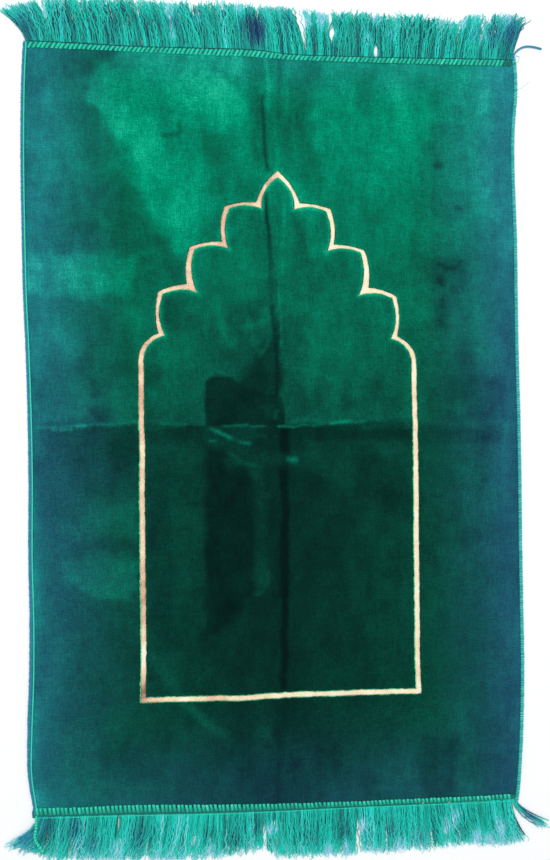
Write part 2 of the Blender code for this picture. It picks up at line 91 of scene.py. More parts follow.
def in_photo(x, y, z):
    """The photo's pixels where points in mm show."""
    place = (np.stack([x, y, z], -1) * MM - np.array(CAMERA_PLACE)) @ TURN
    px = PHOTO_WIDE / 2 - FOCAL_PIXELS * place[:, 0] / place[:, 2]
    py = PHOTO_TALL / 2 + FOCAL_PIXELS * place[:, 1] / place[:, 2]
    return px, py


print("the arch's tip lies at", [round(v) for v in on_rug(277, 173)], "mm")

# %% [markdown]
# ## Names of sizes
#
# A real rug is never quite straight. These tables say where its edges run, in millimetres, as the solids
# were built, so every visible piece lies where its solid does. Each table names its columns first.

# %% Sizes of the body
CLEARANCE = 0.3
LINE_DEPTH = 1.0
LINE_WALL_RUN = 0.4
BINDING_WIDTH = 4.8


def table(columns, *rows):
    """Rows of values under named columns."""
    kind = namedtuple("Row", columns)
    return tuple(kind(*row) for row in rows)


SIDES = table(
    "y left right",
    (-545, 345.5, 351.5), (-522, 348.5, 354), (-487, 353.7, 356.6), (-416, 354.4, 359.6),
    (-346, 351.7, 360.4), (-262, 350.2, 359.2), (-177, 351, 357.8), (-65, 349.9, 356.7), (5, 350.2, 355.6),
    (116, 352.3, 352.8), (186, 354.8, 351.8), (269, 356.1, 350.8), (436, 356.2, 347.4), (498, 354.5, 351.4),
    (519, 353.4, 351), (545, 351.8, 348.2),
)
ARCH_END = table(
    "x seam edge",
    (-350, 535.2, 544.5), (-275, 536.1, 545.3), (-200, 535.6, 543.6), (-108, 535, 543.7),
    (-23, 532.7, 540.9), (0, 530.8, 538.2), (99, 528.3, 536.3), (164, 528.2, 536.5), (260, 528.6, 537.8),
    (350, 529.4, 538.6),
)
FOOT_END = table(
    "x seam edge",
    (-350, 530.1, 540.6), (-284, 531.7, 542.1), (-224, 532, 543.3), (-125, 534.7, 546), (-25, 537, 547.1),
    (94, 537.1, 546.8), (198, 536.2, 546.7), (303, 536.4, 545.6), (350, 535.5, 544.8),
)
print("sides given at", len(SIDES), "places, ends at", len(ARCH_END), "and", len(FOOT_END))

# %% [markdown]
# ## The two fold creases
#
# The rug was folded in four, and both folds still stand up a little. Two tables say where they run and
# two what their cross sections are. Sculpted ones would stray from the solid's.

# %% Sizes of the creases
CROSS_CREASE = table(
    "along across",
    (-350, 7.5), (-306, 3.6), (-242, 9.7), (-156, 9.3), (-100, 6.3), (0, 7), (47, 9), (122, 12.4), (193, 8),
    (352, 7.7),
)
LONG_CREASE = table(
    "along across",
    (-530, -3.2), (-376, 7.4), (-227, 10.1), (-45, 9.5), (4, 8), (65, 2.6), (131, -2.2), (222, -6.8),
    (303, -12.9), (401, -14.8), (529, -18.9),
)
CROSS_SECTION = table("across rise", (-20, 0), (-8, 0.5), (-2.5, 1.7), (1.5, 2.2), (8, 1.1), (20, 0))
LONG_SECTION = table("across rise", (-16, 0), (-5, 0.6), (0, -0.6), (5, 1), (11, 0.4), (22, 0))
CREASE_FADE = 34.0
CROSSING_RISE = 1.2  # this high, it hides the long crease
print("the cross crease rises", max(p.rise for p in CROSS_SECTION), "mm at most")

# %% [markdown]
# ## Curves through the tables
#
# Cloth has no corners, so the tables are read through a smooth curve. Blender's curves could do it too,
# but a short function can be asked for many places at once.

# %% Curves through the tables
def column(rows, name):
    return np.array([getattr(row, name) for row in rows], float)


def through(rows, name, along):
    """A smooth curve through one column of a table."""
    xs = column(rows, rows[0]._fields[0])
    ys = column(rows, name)
    slopes = np.gradient(ys, xs)
    i = np.clip(np.searchsorted(xs, along) - 1, 0, len(xs) - 2)
    span = xs[i + 1] - xs[i]
    t = np.clip((along - xs[i]) / span, 0.0, 1.0)
    start = (2 * t**3 - 3 * t**2 + 1) * ys[i] + (t**3 - 2 * t**2 + t) * span * slopes[i]
    end = (3 * t**2 - 2 * t**3) * ys[i + 1] + (t**3 - t**2) * span * slopes[i + 1]
    return start + end


def smooth(t):
    """From 0 to 1 with no corner at either end."""
    t = np.clip(t, 0.0, 1.0)
    return t * t * (3 - 2 * t)


def side_x(side, y):
    """The bound edge: side is -1 at the left and 1 at the right."""
    return side * through(SIDES, "left" if side < 0 else "right", y)


def velvet_x(side, y):
    return side_x(side, y) - side * (BINDING_WIDTH + CLEARANCE)


def from_edges(x, y):
    to_side = np.minimum(velvet_x(1, y) - x, x - velvet_x(-1, y))
    to_end = np.minimum(through(ARCH_END, "seam", x) - y, y + through(FOOT_END, "seam", x))
    return to_side, to_end


def relief(x, y):
    to_side, to_end = from_edges(x, y)
    cross = through(CROSS_SECTION, "rise", y - through(CROSS_CREASE, "across", x))
    cross = cross * smooth(to_side / CREASE_FADE)
    long = through(LONG_SECTION, "rise", x - through(LONG_CREASE, "across", y))
    long = long * smooth(to_end / CREASE_FADE)
    return cross + long * (1.0 - smooth(cross / CROSSING_RISE))


probe = float(relief(np.array(100.0), np.array(12.0)))
print("the cross crease stands", round(probe, 2), "mm high there")

# %% [markdown]
# ## Small tools for nodes and meshes
#
# Stitches and yarns repeat hundreds of times, so Geometry Nodes lay them out: a path goes in, a mesh
# comes out. Every tree has named inputs for its sizes, and its result is turned into a plain mesh.

# %% Helpers for node trees
def add_node(tree, kind, given=None, **settings):
    """A node. given maps its inputs to values, or to outputs that feed them."""
    made = tree.nodes.new(kind)
    for name, value in settings.items():
        setattr(made, name, value)
    for key, value in (given or {}).items():
        if isinstance(value, bpy.types.NodeSocket):
            tree.links.new(value, made.inputs[key])
        else:
            made.inputs[key].default_value = value
    return made


def sums(tree, operation, *values, clamp=False):
    made = add_node(tree, "ShaderNodeMath", dict(enumerate(values)), operation=operation)
    made.use_clamp = clamp
    return made.outputs[0]


def vectors(tree, operation, given):
    return add_node(tree, "ShaderNodeVectorMath", given, operation=operation).outputs[0]


def new_layout(name, inputs):
    tree = bpy.data.node_groups.new(name, "GeometryNodeTree")
    tree.interface.new_socket(name="Geometry", in_out="INPUT", socket_type="NodeSocketGeometry")
    for label, kind in inputs.items():
        tree.interface.new_socket(name=label, in_out="INPUT", socket_type="NodeSocket" + kind)
    tree.interface.new_socket(name="Geometry", in_out="OUTPUT", socket_type="NodeSocketGeometry")
    return tree, tree.nodes.new("NodeGroupInput").outputs, tree.nodes.new("NodeGroupOutput").inputs


def named(tree, label):
    given = {"Name": label}
    return add_node(tree, "GeometryNodeInputNamedAttribute", given, data_type="FLOAT").outputs[0]


def stored(tree, shape, label, value):
    """The shape with a value written to its points."""
    given = {"Geometry": shape, "Name": label, "Value": value}
    kept = {"data_type": "FLOAT", "domain": "POINT"}
    return add_node(tree, "GeometryNodeStoreNamedAttribute", given, **kept).outputs[0]


def end_layout(tree, shape, finish, result):
    """Real geometry, rounded faces and the finish."""
    real = add_node(tree, "GeometryNodeRealizeInstances", {"Geometry": shape}).outputs[0]
    rounded = add_node(tree, "GeometryNodeSetShadeSmooth", {0: real}).outputs[0]
    finished = add_node(tree, "GeometryNodeSetMaterial", {"Geometry": rounded, "Material": finish})
    tree.links.new(finished.outputs[0], result["Geometry"])


print("node helpers ready")

# %% [markdown]
# A number that belongs to a point, such as its tone, is written on it under a name. Finishes read it
# there, so one material serves every yarn.

# %% Helpers for meshes and pieces
def plain_mesh(name, vertices, faces, edges=()):
    data = bpy.data.meshes.new(name)
    data.from_pydata([tuple(v) for v in vertices], edges, faces)
    data.update()
    return data


def write_on(data, name, values):
    data.attributes.new(name, "FLOAT", "POINT").data.foreach_set("value", values)


def piece_of(data, name, material=None, smooth_faces=True):
    made = in_scene(name, data)
    if material is not None:
        data.materials.append(material)
    if smooth_faces:
        data.shade_smooth()
    return made


def paths_of(name, routes, facts=None):
    """Routes in mm as one mesh of edges, with facts for each route or point."""
    edges = []
    first = 0
    for route in routes:
        edges += [(first + k, first + k + 1) for k in range(len(route) - 1)]
        first += len(route)
    data = plain_mesh(name, np.concatenate(routes) * MM, [], edges)
    for fact, numbers in (facts or {}).items():
        spread = [np.full(len(route), 1.0) * number for route, number in zip(routes, numbers)]
        write_on(data, fact, np.concatenate(spread))
    return data


def laid_out(name, paths, tree, values):
    """A layout run over a mesh of paths, as a plain piece."""
    carrier = in_scene(name + "_paths", paths)
    modifier = carrier.modifiers.new("layout", "NODES")
    modifier.node_group = tree
    for item in tree.interface.items_tree:
        if item.item_type == "SOCKET" and item.in_out == "INPUT" and item.name in values:
            modifier[item.identifier] = values[item.name]
    shown = carrier.evaluated_get(bpy.context.evaluated_depsgraph_get())
    data = bpy.data.meshes.new_from_object(shown)
    data.name = name
    carrier.modifiers.clear()
    bpy.data.objects.remove(carrier)
    made = piece_of(data, name)
    print(name + ":", sum(len(p.vertices) - 2 for p in data.polygons), "triangles")
    return made


def dressed(piece):
    """The piece rides on the rug's body."""
    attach(piece, "root")
    return piece


print("mesh helpers ready")

# %% [markdown]
# ## Light and floor
#
# The photo is lit by soft daylight, so bright that the floor is plain white. A pale floor, an even sky
# and one large soft lamp give the same. Colours are given as the photo shows them, and the light is
# divided out again.

# %% Light and floor
FLOOR_LIGHT = 1.3  # how bright pure white comes out
SKY_COLOUR = (0.97, 0.985, 1.0, 1.0)
SKY_STRENGTH = 0.78
LAMP_POWER = 26.0
LAMP_LONG, LAMP_WIDE = 2.4, 1.6
LAMP_PLACE = (0.0, 1.1, 2.2)
LAMP_AIM = Vector((0.0, 0.1, 0.0))
FLOOR_REACH = 6
FLOOR_ROUGHNESS = 0.9


def seen(red, green, blue):
    """The surface colour that shows as this colour of the photo, 0 to 255."""
    colour = []
    for value in (red, green, blue):
        value /= 255.0
        value = value / 12.92 if value <= 0.04045 else ((value + 0.055) / 1.055) ** 2.4
        colour.append(min(1.0, value / FLOOR_LIGHT))
    return (*colour, 1.0)


bpy.context.scene.view_settings.view_transform = "Standard"
bpy.context.scene.view_settings.look = "None"
sky = bpy.data.worlds.new("sky")
sky.use_nodes = True
sky.node_tree.nodes["Background"].inputs["Color"].default_value = SKY_COLOUR
sky.node_tree.nodes["Background"].inputs["Strength"].default_value = SKY_STRENGTH
bpy.context.scene.world = sky

lamp_data = bpy.data.lights.new("soft_lamp", "AREA")
lamp_data.shape = "RECTANGLE"
lamp_data.size = LAMP_LONG
lamp_data.size_y = LAMP_WIDE
lamp_data.energy = LAMP_POWER
lamp = in_scene("soft_lamp", lamp_data)
lamp.location = LAMP_PLACE
lamp.rotation_euler = (LAMP_AIM - lamp.location).to_track_quat("-Z", "Y").to_euler()

floor_finish = bpy.data.materials.new("pale_floor")
floor_finish.use_nodes = True
floor_shader = floor_finish.node_tree.nodes["Principled BSDF"]
floor_shader.inputs["Base Color"].default_value = (1.0, 1.0, 1.0, 1.0)
floor_shader.inputs["Roughness"].default_value = FLOOR_ROUGHNESS
floor_corners = [(FLOOR_REACH * a, FLOOR_REACH * b, 0) for a, b in ((-1, -1), (1, -1), (1, 1), (-1, 1))]
floor = piece_of(plain_mesh("floor", floor_corners, [(0, 1, 2, 3)]), "floor", floor_finish)
print("floor, sky and lamp set")

# %% [markdown]
# ## Finishes of yarn and thread
#
# Yarn is matt with a soft shine, and no two strands have quite the same tone. Each carries a number
# called tone, which the finish turns into a colour between the dark and the bright dye, and one called
# along, which gives the twist its slanted ribs. Tone also carries painted shade and painted highlights:
# the darkest colours stand for yarn in shade, the brightest for yarn in full light. A material for each
# tone would take dozens.

# %% Helpers for finishes
def new_finish(name, roughness, sheen=0.0, gloss=0.2):
    """A cloth finish: (material, tree, shader, object coordinates)."""
    material = bpy.data.materials.new(name)
    material.use_nodes = True
    tree = material.node_tree
    shader = tree.nodes["Principled BSDF"]
    shader.inputs["Roughness"].default_value = roughness
    shader.inputs["Sheen Weight"].default_value = sheen
    shader.inputs["Specular IOR Level"].default_value = gloss
    place = tree.nodes.new("ShaderNodeTexCoord").outputs["Object"]
    return material, tree, shader, place


def speckle(tree, place, size, detail=2.0, stretch=(1.0, 1.0, 1.0)):
    """Soft random spots of this size in mm, from 0 to 1."""
    scale = [1000.0 / size / s for s in stretch]
    grid = add_node(tree, "ShaderNodeMapping", {"Vector": place, "Scale": scale}).outputs[0]
    given = {"Vector": grid, "Scale": 1.0, "Detail": detail}
    return add_node(tree, "ShaderNodeTexNoise", given).outputs[0]


def centred(tree, spots, amount, more=0.0):
    """Spots spread evenly about 0, on top of more."""
    return sums(tree, "MULTIPLY_ADD", spots, amount, sums(tree, "SUBTRACT", more, amount / 2))


def waves(tree, place, axis, scale, distortion):
    """Threads side by side, as light and dark bands."""
    given = {"Vector": place, "Scale": scale, "Distortion": distortion}
    return add_node(tree, "ShaderNodeTexWave", given, bands_direction=axis).outputs["Fac"]


def ramp(tree, value, stops):
    """The colour for a value, from stops of (value, red, green, blue)."""
    made = add_node(tree, "ShaderNodeValToRGB", {"Fac": value})
    while len(made.color_ramp.elements) < len(stops):
        made.color_ramp.elements.new(0.5)
    for element, (at, red, green, blue) in zip(made.color_ramp.elements, stops):
        element.position = at
        element.color = seen(red, green, blue)
    return made.outputs[0]


def fact(tree, name):
    return add_node(tree, "ShaderNodeAttribute", attribute_name=name).outputs["Fac"]


def blended(tree, share, one, other):
    return add_node(tree, "ShaderNodeMix", {0: share, 6: one, 7: other}, data_type="RGBA").outputs[2]


def coat(tree, shader, colour, height=None, rise=0.1, strength=0.5):
    """Gives the shader its colour, and a bump that rises this many mm."""
    tree.links.new(colour, shader.inputs["Base Color"])
    if height is not None:
        given = {"Height": height, "Distance": rise * MM, "Strength": strength}
        tree.links.new(add_node(tree, "ShaderNodeBump", given).outputs[0], shader.inputs["Normal"])


print("finish helpers ready")

# %% [markdown]
# Where tone has a row's first number, the yarn shows as the colour after it. Colours above 255 are
# brighter than the photo can show, as tips in full light are.

# %% Yarn and thread finishes
FRINGE_DYE_AND_LIGHT = (
    (0, 12, 84, 100), (0.2, 10, 118, 124), (0.4, 10, 184, 168), (0.58, 16, 236, 212), (0.76, 20, 254, 240),
    (1, 190, 264, 284),
)
# bluish colours for the painted blue tint of the fringe's shadows and highlights
BLUE_TINT_FRINGE_LIGHT = (
    (0, 14, 54, 104), (0.25, 30, 110, 156), (0.45, 46, 164, 198), (0.65, 90, 206, 232), (1, 228, 244, 290),
)
STITCH_DYE_AND_LIGHT = ((0, 10, 92, 92), (0.4, 20, 180, 150), (0.8, 40, 244, 204), (1, 100, 262, 232))
# its bluish low end paints the lavender highlight of the lit left binding
EDGE_DYE_AND_LIGHT = (
    (0, 104, 150, 226), (0.2, 64, 160, 200), (0.4, 34, 160, 172), (0.7, 24, 210, 186), (1, 120, 244, 232),
)
YARN_ROUGHNESS = 0.6
YARN_SHEEN = 0.1
YARN_GLOSS = 0.12
YARN_SPOT, YARN_SPOT_AMOUNT = 2.2, 0.3
FUZZ = 0.5


def yarn_finish(name, stops, twist, cool_stops=None):
    material, tree, shader, place = new_finish(name, YARN_ROUGHNESS, YARN_SHEEN, YARN_GLOSS)
    spots = centred(tree, speckle(tree, place, YARN_SPOT), YARN_SPOT_AMOUNT)
    tone = sums(tree, "ADD", fact(tree, "tone"), spots, clamp=True)
    colour = ramp(tree, tone, stops)
    if cool_stops:
        colour = blended(tree, fact(tree, "cool"), colour, ramp(tree, tone, cool_stops))
    rib = sums(tree, "SINE", sums(tree, "MULTIPLY", fact(tree, "along"), 2 * math.pi * 1000.0 / twist))
    height = sums(tree, "MULTIPLY_ADD", rib, 0.4, speckle(tree, place, FUZZ))
    coat(tree, shader, colour, height, rise=0.12, strength=0.6)
    return material


fringe_finish = yarn_finish("fringe_yarn", FRINGE_DYE_AND_LIGHT, 1.6, BLUE_TINT_FRINGE_LIGHT)
stitch_finish = yarn_finish("heading_stitch_yarn", STITCH_DYE_AND_LIGHT, 2.0)
edge_finish = yarn_finish("edge_thread", EDGE_DYE_AND_LIGHT, 1.1)
print("yarn finishes made:", fringe_finish.name, stitch_finish.name, edge_finish.name)

# %% [markdown]
# ## Loose thread ends
#
# The overlock thread runs on past two corners: a stiff end bows away over the floor, and a chained one
# lies on the fringe. A bevelled curve would make such tubes too. Built ring by ring, they can have the
# chain's lumps and tones. They are free cords, so they come first.

# %% Routes of the thread tails
FOOT_TAIL = table(
    "x y z",
    (-343.2, -536.8, 2.4), (-343.4, -541, 3.3), (-343.3, -546, 4.3), (-343.2, -552, 4.5),
    (-344.5, -559.5, 4.5), (-345.2, -566, 4.5), (-343, -572.5, 4.5), (-339.4, -578.5, 4.4),
    (-334.2, -586, 4.3),
)
ARCH_TAIL = table(
    "x y z",
    (346, 543.1, 1.5), (347.2, 547, 1.5), (351.6, 552.6, 1.5), (358.4, 557.2, 1.5), (366.5, 559.2, 1.5),
    (377, 558.6, 1.5), (388, 556.2, 1.5),
)
FOOT_TAIL_WIDE = 4.2
ARCH_TAIL_WIDE = 2.8
CHAIN_PITCH = 4.0
TAIL_SIDES = 12


def smooth_route(points, between):
    points = [np.array(p, float) for p in points]
    padded = [points[0] * 2 - points[1]] + points + [points[-1] * 2 - points[-2]]
    route = []
    for p0, p1, p2, p3 in zip(padded, padded[1:], padded[2:], padded[3:]):
        for k in range(between):
            t = k / between
            bend = (p0 * 2 - p1 * 5 + p2 * 4 - p3) * t * t
            twist = (p1 * 3 - p0 - p2 * 3 + p3) * t * t * t
            route.append((p1 * 2 + (p2 - p0) * t + bend + twist) / 2)
    return route + [points[-1]]


def route_length(route):
    return float(np.linalg.norm(np.diff(np.array(route), axis=0), axis=1).sum()) * MM


foot_route = smooth_route(FOOT_TAIL, 8)
arch_route = smooth_route(ARCH_TAIL, 6)
print("tails:", [round(route_length(route) / MM, 1) for route in (foot_route, arch_route)], "mm long")

# %% [markdown]
# A tail is a tube: a ring of points round each step of its route, joined ring to ring and capped.

# %% Thread tails
def tube(name, route, radii, material, tones):
    route = np.array(route)
    ahead = np.gradient(route, axis=0)
    ahead /= np.linalg.norm(ahead, axis=1)[:, None]
    across = np.cross(ahead, [0.0, 0.0, 1.0])
    across /= np.linalg.norm(across, axis=1)[:, None]
    up = np.cross(across, ahead)
    turns = np.arange(TAIL_SIDES) * 2 * math.pi / TAIL_SIDES
    ring = np.cos(turns)[None, :, None] * across[:, None] + np.sin(turns)[None, :, None] * up[:, None]
    vertices = (route[:, None] + ring * np.array(radii)[:, None, None]).reshape(-1, 3) * MM
    faces = []
    for low in range(0, (len(route) - 1) * TAIL_SIDES, TAIL_SIDES):
        high = low + TAIL_SIDES
        for a in range(TAIL_SIDES):
            b = (a + 1) % TAIL_SIDES
            faces.append((low + a, low + b, high + b, high + a))
    faces.append(tuple(reversed(range(TAIL_SIDES))))
    faces.append(tuple((len(route) - 1) * TAIL_SIDES + a for a in range(TAIL_SIDES)))
    data = plain_mesh(name, vertices, faces)
    steps = np.linalg.norm(np.diff(route, axis=0), axis=1)
    along = np.concatenate([[0.0], np.cumsum(steps)]) * MM
    write_on(data, "along", np.repeat(along, TAIL_SIDES))
    write_on(data, "tone", np.repeat(np.array(tones), TAIL_SIDES))
    return piece_of(data, name, material)


foot_steps = np.linspace(0.0, route_length(foot_route) / MM, len(foot_route))
chain = np.cos(foot_steps / CHAIN_PITCH * 2 * math.pi)
foot_radii = FOOT_TAIL_WIDE / 2 * (0.84 + 0.16 * chain)
foot_tail = tube("chained_thread_tail", foot_route, foot_radii, stitch_finish, 0.72 + 0.25 * chain)
arch_radii = np.full(len(arch_route), ARCH_TAIL_WIDE / 2)
arch_tones = np.linspace(0.12, 0.3, len(arch_route))
arch_tail = tube("bowed_thread_tail", arch_route, arch_radii, edge_finish, arch_tones)
for tail, node_name, route, wide in (
    (foot_tail, "thread_tail_bottom_left", foot_route, FOOT_TAIL_WIDE),
    (arch_tail, "thread_tail_top_right", arch_route, ARCH_TAIL_WIDE),
):
    dressed(tail)
    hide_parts(node_name)
    print(tail.name, "has", len(tail.data.polygons), "faces")

# %% [markdown]
# ## The arch
#
# The arch is one closed line with straight sides, four lobes on each side and a pointed tip. One half is
# drawn, as corners with a bow between them, and mirrored, then pulled a little askew as the weave is.
# Tracing the photo would copy its pixels. This gives the clean line that the weaver worked from.

# %% The arch's two edges
ARCH = table(
    "out_x out_y out_bow in_x in_y in_bow",
    (0, 372.8, 4.6, 0, 362.8, 7.6), (31.3, 327.4, 2.1, 22.9, 317, 5.2), (76.3, 320, 3.9, 69.7, 316, 6.3),
    (81, 269.8, 2.1, 70, 258.6, 5.2), (125.6, 261.4, 3.9, 118.9, 257.6, 6.3),
    (130.4, 208.8, 2.1, 115.2, 196.2, 5.2), (170.4, 197.8, 3.9, 163.5, 194, 6.6),
    (171.2, 139.2, 9, 161, 135.6, 10.5), (199.6, 94, 0, 191.4, 94, 0), (202.6, -382.4, 0, 194.4, -374.2, 0),
)
ARCH_DRIFT = 3.6
ARCH_SKEW = -0.011
ARCH_SKEW_GROWS_OVER = 200.0
ARCH_MIDDLE_AT_TOP = 0.8
LEAST_PARTS = 4
SHARPEST_MITRE = 0.3


def pulled(points):
    """The arch as it is woven: drifting right on its way down, and askew."""
    x, y = np.array(points).T
    down = (ARCH[0].out_y - y) / (ARCH[0].out_y - ARCH[-1].out_y)
    drop = ARCH_SKEW * x * np.clip((y - ARCH[-1].out_y) / ARCH_SKEW_GROWS_OVER, 0.0, 1.0)
    return np.stack([x + ARCH_MIDDLE_AT_TOP + ARCH_DRIFT * down, y + drop], -1)


def arch_edge(edge, spacing):
    half = [np.array((getattr(row, edge + "_x"), getattr(row, edge + "_y"))) for row in ARCH]
    paired = [np.array((row.out_x, row.out_y)) for row in ARCH]
    right = []
    for k in range(len(ARCH) - 1):
        chord = half[k + 1] - half[k]
        parts = max(LEAST_PARTS, round(np.linalg.norm(paired[k + 1] - paired[k]) / spacing))
        outward = np.array((-chord[1], chord[0])) / np.linalg.norm(chord)
        t = np.arange(parts)[:, None] / parts
        bow = getattr(ARCH[k], edge + "_bow")
        right += list(half[k] + chord * t + outward * (4 * bow * t * (1 - t)))
    parts = round(2 * ARCH[-1].out_x / spacing)
    foot = [half[-1] * (1 - 2 * k / parts, 1.0) for k in range(parts)]
    left = [p * (-1.0, 1.0) for p in reversed(right[1:] + [half[-1]])]
    return pulled(right + foot + left)


def inwards(loop):
    """The way inwards at each point of a clockwise loop."""
    arriving = loop - np.roll(loop, 1, axis=0)
    leaving = np.roll(loop, -1, axis=0) - loop
    arriving /= np.linalg.norm(arriving, axis=1)[:, None]
    leaving /= np.linalg.norm(leaving, axis=1)[:, None]
    inward = np.stack([arriving[:, 1] + leaving[:, 1], -arriving[:, 0] - leaving[:, 0]], -1)
    inward /= np.linalg.norm(inward, axis=1)[:, None]
    share = np.maximum(SHARPEST_MITRE, inward[:, 0] * leaving[:, 1] - inward[:, 1] * leaving[:, 0])
    return inward / share[:, None]


print("the arch is drawn from", len(ARCH), "corners")

# %% [markdown]
# A woven line is never quite even, and this cloth was pulled here and there. Each row pushes the line a
# little right or up, near one place of the photo, in millimetres.

# %% The arch as it lies
LINE_STRAYS = table(
    "px py spread right up",
    (277, 190, 36, 0, -1.7), (230, 222, 24, 0.9, -0.8), (330, 226, 26, -1.1, -1.2),
    (188, 262, 26, 0.4, -0.6), (362, 268, 26, -1.2, -0.4), (158, 312, 28, 0, -1.3),
    (396, 312, 28, -0.6, -1.3), (141, 455, 28, 1.1, 0), (141, 540, 34, 0.8, 0), (141, 600, 28, 0.9, 0),
    (141, 650, 32, 1.3, 0), (415, 385, 34, -0.8, 0), (416, 540, 32, -1, 0), (417, 600, 28, -1, 0),
    (418, 655, 32, -1.6, 0), (200, 698, 14, 0, -0.6), (240, 697, 20, 0, -1.7), (300, 694, 24, 0, 1.2),
    (360, 692, 28, 0, 1.1), (400, 691, 16, 0, 0.7),
)
LINE_SPACING = 3.0
LINE_WIDER = 0.28
GOLD_HEIGHT = 2.5  # above the floor
EDGE_WAVE, EDGE_WAVE_AMOUNT = 5.0, 0.38


def uneven(points, size, seed, stretch=(1.0, 1.0)):
    """A soft random number from -1 to 1 for each point."""
    points = np.asarray(points) / stretch
    return np.array([noise.noise(Vector((p[0] / size, p[1] / size, seed))) * 2.0 for p in points])


def strayed(loop, wider, seed):
    px, py = in_photo(*loop.T, np.full(len(loop), GOLD_HEIGHT))
    moved = loop + inwards(loop) * (wider + EDGE_WAVE_AMOUNT * uneven(loop, EDGE_WAVE, seed))[:, None]
    for stray in LINE_STRAYS:
        share = np.exp(-((px - stray.px) ** 2 + (py - stray.py) ** 2) / stray.spread**2)
        moved += share[:, None] * np.array((stray.right, stray.up))
    return moved


outer_edge = strayed(arch_edge("out", LINE_SPACING), -LINE_WIDER, 3.1)
inner_edge = strayed(arch_edge("in", LINE_SPACING), LINE_WIDER, 9.4)
print("the arch line has", len(outer_edge), "pairs of points")

# %% [markdown]
# ## The velvet
#
# The body is one closed sheet: a fine net over the pile side, a coarse one over the woven back, and a
# narrow edge between. A plain grid would cut the arch's edges into steps. A Delaunay net keeps them
# crisp, and the points between them lie lower, which gives the sunk line.

# %% The velvet's outline and grid
FACE_SPACING = 3.6
FINE_SPACING = 1.8  # beside the two creases
NEAR_LONG_CREASE = (-34.0, 44.0)
NEAR_CROSS_CREASE = (-24.0, 14.0)
BACK_SPACING = 24.0
FACE_MARGIN, BACK_MARGIN = 2.0, 6.0
END_POINTS, SIDE_POINTS = 117, 179
GRID_ACROSS = (-352.0, 355.0)
GRID_ALONG = (-534.0, 534.0)


def velvet_outline():
    top_y = float(through(ARCH_END, "seam", 0.0)) - CLEARANCE
    foot_y = -float(through(FOOT_END, "seam", 0.0)) + CLEARANCE
    shares = np.linspace(-1.0, 1.0, END_POINTS)
    along = np.linspace(foot_y, top_y, SIDE_POINTS)[1:-1]
    foot_x = np.where(shares > 0, velvet_x(1, foot_y), velvet_x(-1, foot_y)) * np.abs(shares)
    top_x = np.where(shares > 0, velvet_x(1, top_y), velvet_x(-1, top_y)) * np.abs(shares)
    foot = np.stack([foot_x, -through(FOOT_END, "seam", foot_x) + CLEARANCE], -1)
    top = np.stack([top_x, through(ARCH_END, "seam", top_x) - CLEARANCE], -1)
    right = np.stack([velvet_x(1, along), along], -1)
    left = np.stack([velvet_x(-1, along), along], -1)
    return np.concatenate([foot, right, top[::-1], left[::-1]])


def steps_over(low, high, spacing, fine_band):
    """Steps from low to high, finer within the band."""
    if not fine_band:
        return np.arange(low, high, spacing)
    before, after = np.arange(low, fine_band[0], spacing), np.arange(fine_band[1], high, spacing)
    return np.concatenate([before, np.arange(*fine_band, FINE_SPACING), after])


def grid_inside(spacing, margin, fine_x=None, fine_y=None):
    """A grid inside the velvet, every other row shifted by half a step."""
    points = []
    columns = steps_over(*GRID_ACROSS, spacing, fine_x)
    halfway = (columns + np.append(columns[1:], columns[-1] + spacing)) / 2
    for k, y in enumerate(steps_over(*GRID_ALONG, spacing, fine_y)):
        x = halfway if k % 2 else columns
        y = np.full(len(x), y)
        clear = (x > velvet_x(-1, y) + margin) & (x < velvet_x(1, y) - margin)
        clear &= (y > margin - through(FOOT_END, "seam", x)) & (y < through(ARCH_END, "seam", x) - margin)
        points.append(np.stack([x[clear], y[clear]], -1))
    return np.concatenate(points)


outline = velvet_outline()
print("the velvet's outline has", len(outline), "points")

# %% [markdown]
# The grid keeps clear of the gold line, or the net would fold into slivers there.

# %% The velvet's net
LINE_ROOM = 2.5
SAME_POINT = 1e-6


def inside(px, py, outline):
    within = np.zeros(len(px), bool)
    for (ax, ay), (bx, by) in zip(outline, np.roll(outline, -1, axis=0)):
        crosses = (ay > py) != (by > py)
        within ^= crosses & (px < (bx - ax) * (py - ay) / (by - ay + 1e-9) + ax)
    return within


def net_over(loops, free):
    """A net that keeps the loops: (points, triangles, which loop a point is on)."""
    points = [Vector(p) for loop in loops for p in loop]
    member = [k for k, loop in enumerate(loops) for _ in loop]
    edges = []
    first = 0
    for loop in loops:
        edges += [(first + k, first + (k + 1) % len(loop)) for k in range(len(loop))]
        first += len(loop)
    points += [Vector(p) for p in free]
    member += [-1] * len(free)
    net = delaunay_2d_cdt(points, edges, [], 1, SAME_POINT)
    kept = [max((member[i] for i in origin), default=-1) for origin in net[3]]
    return np.array([(p.x, p.y) for p in net[0]]), net[2], np.array(kept)


floor_outer = outer_edge + inwards(outer_edge) * LINE_WALL_RUN
floor_inner = inner_edge - inwards(inner_edge) * LINE_WALL_RUN
near_line = kdtree.KDTree(len(outer_edge) + len(inner_edge))
for k, p in enumerate(np.concatenate([outer_edge, inner_edge])):
    near_line.insert((p[0], p[1], 0.0), k)
near_line.balance()
crease_y = column(CROSS_CREASE, "across")
cross_band = (min(crease_y) + NEAR_CROSS_CREASE[0], max(crease_y) + NEAR_CROSS_CREASE[1])
free = grid_inside(FACE_SPACING, FACE_MARGIN, NEAR_LONG_CREASE, cross_band)
to_line = np.array([near_line.find((p[0], p[1], 0.0))[2] for p in free])
on_band = inside(*free.T, outer_edge) & ~inside(*free.T, inner_edge)
free = free[(to_line > LINE_ROOM) & ~on_band]
loops = [outline, outer_edge, floor_outer, floor_inner, inner_edge]
face_points, face_triangles, on_loop = net_over(loops, free)
back_points, back_triangles, _ = net_over([outline], grid_inside(BACK_SPACING, BACK_MARGIN))
print("the pile side has", len(face_triangles), "triangles, the back", len(back_triangles))
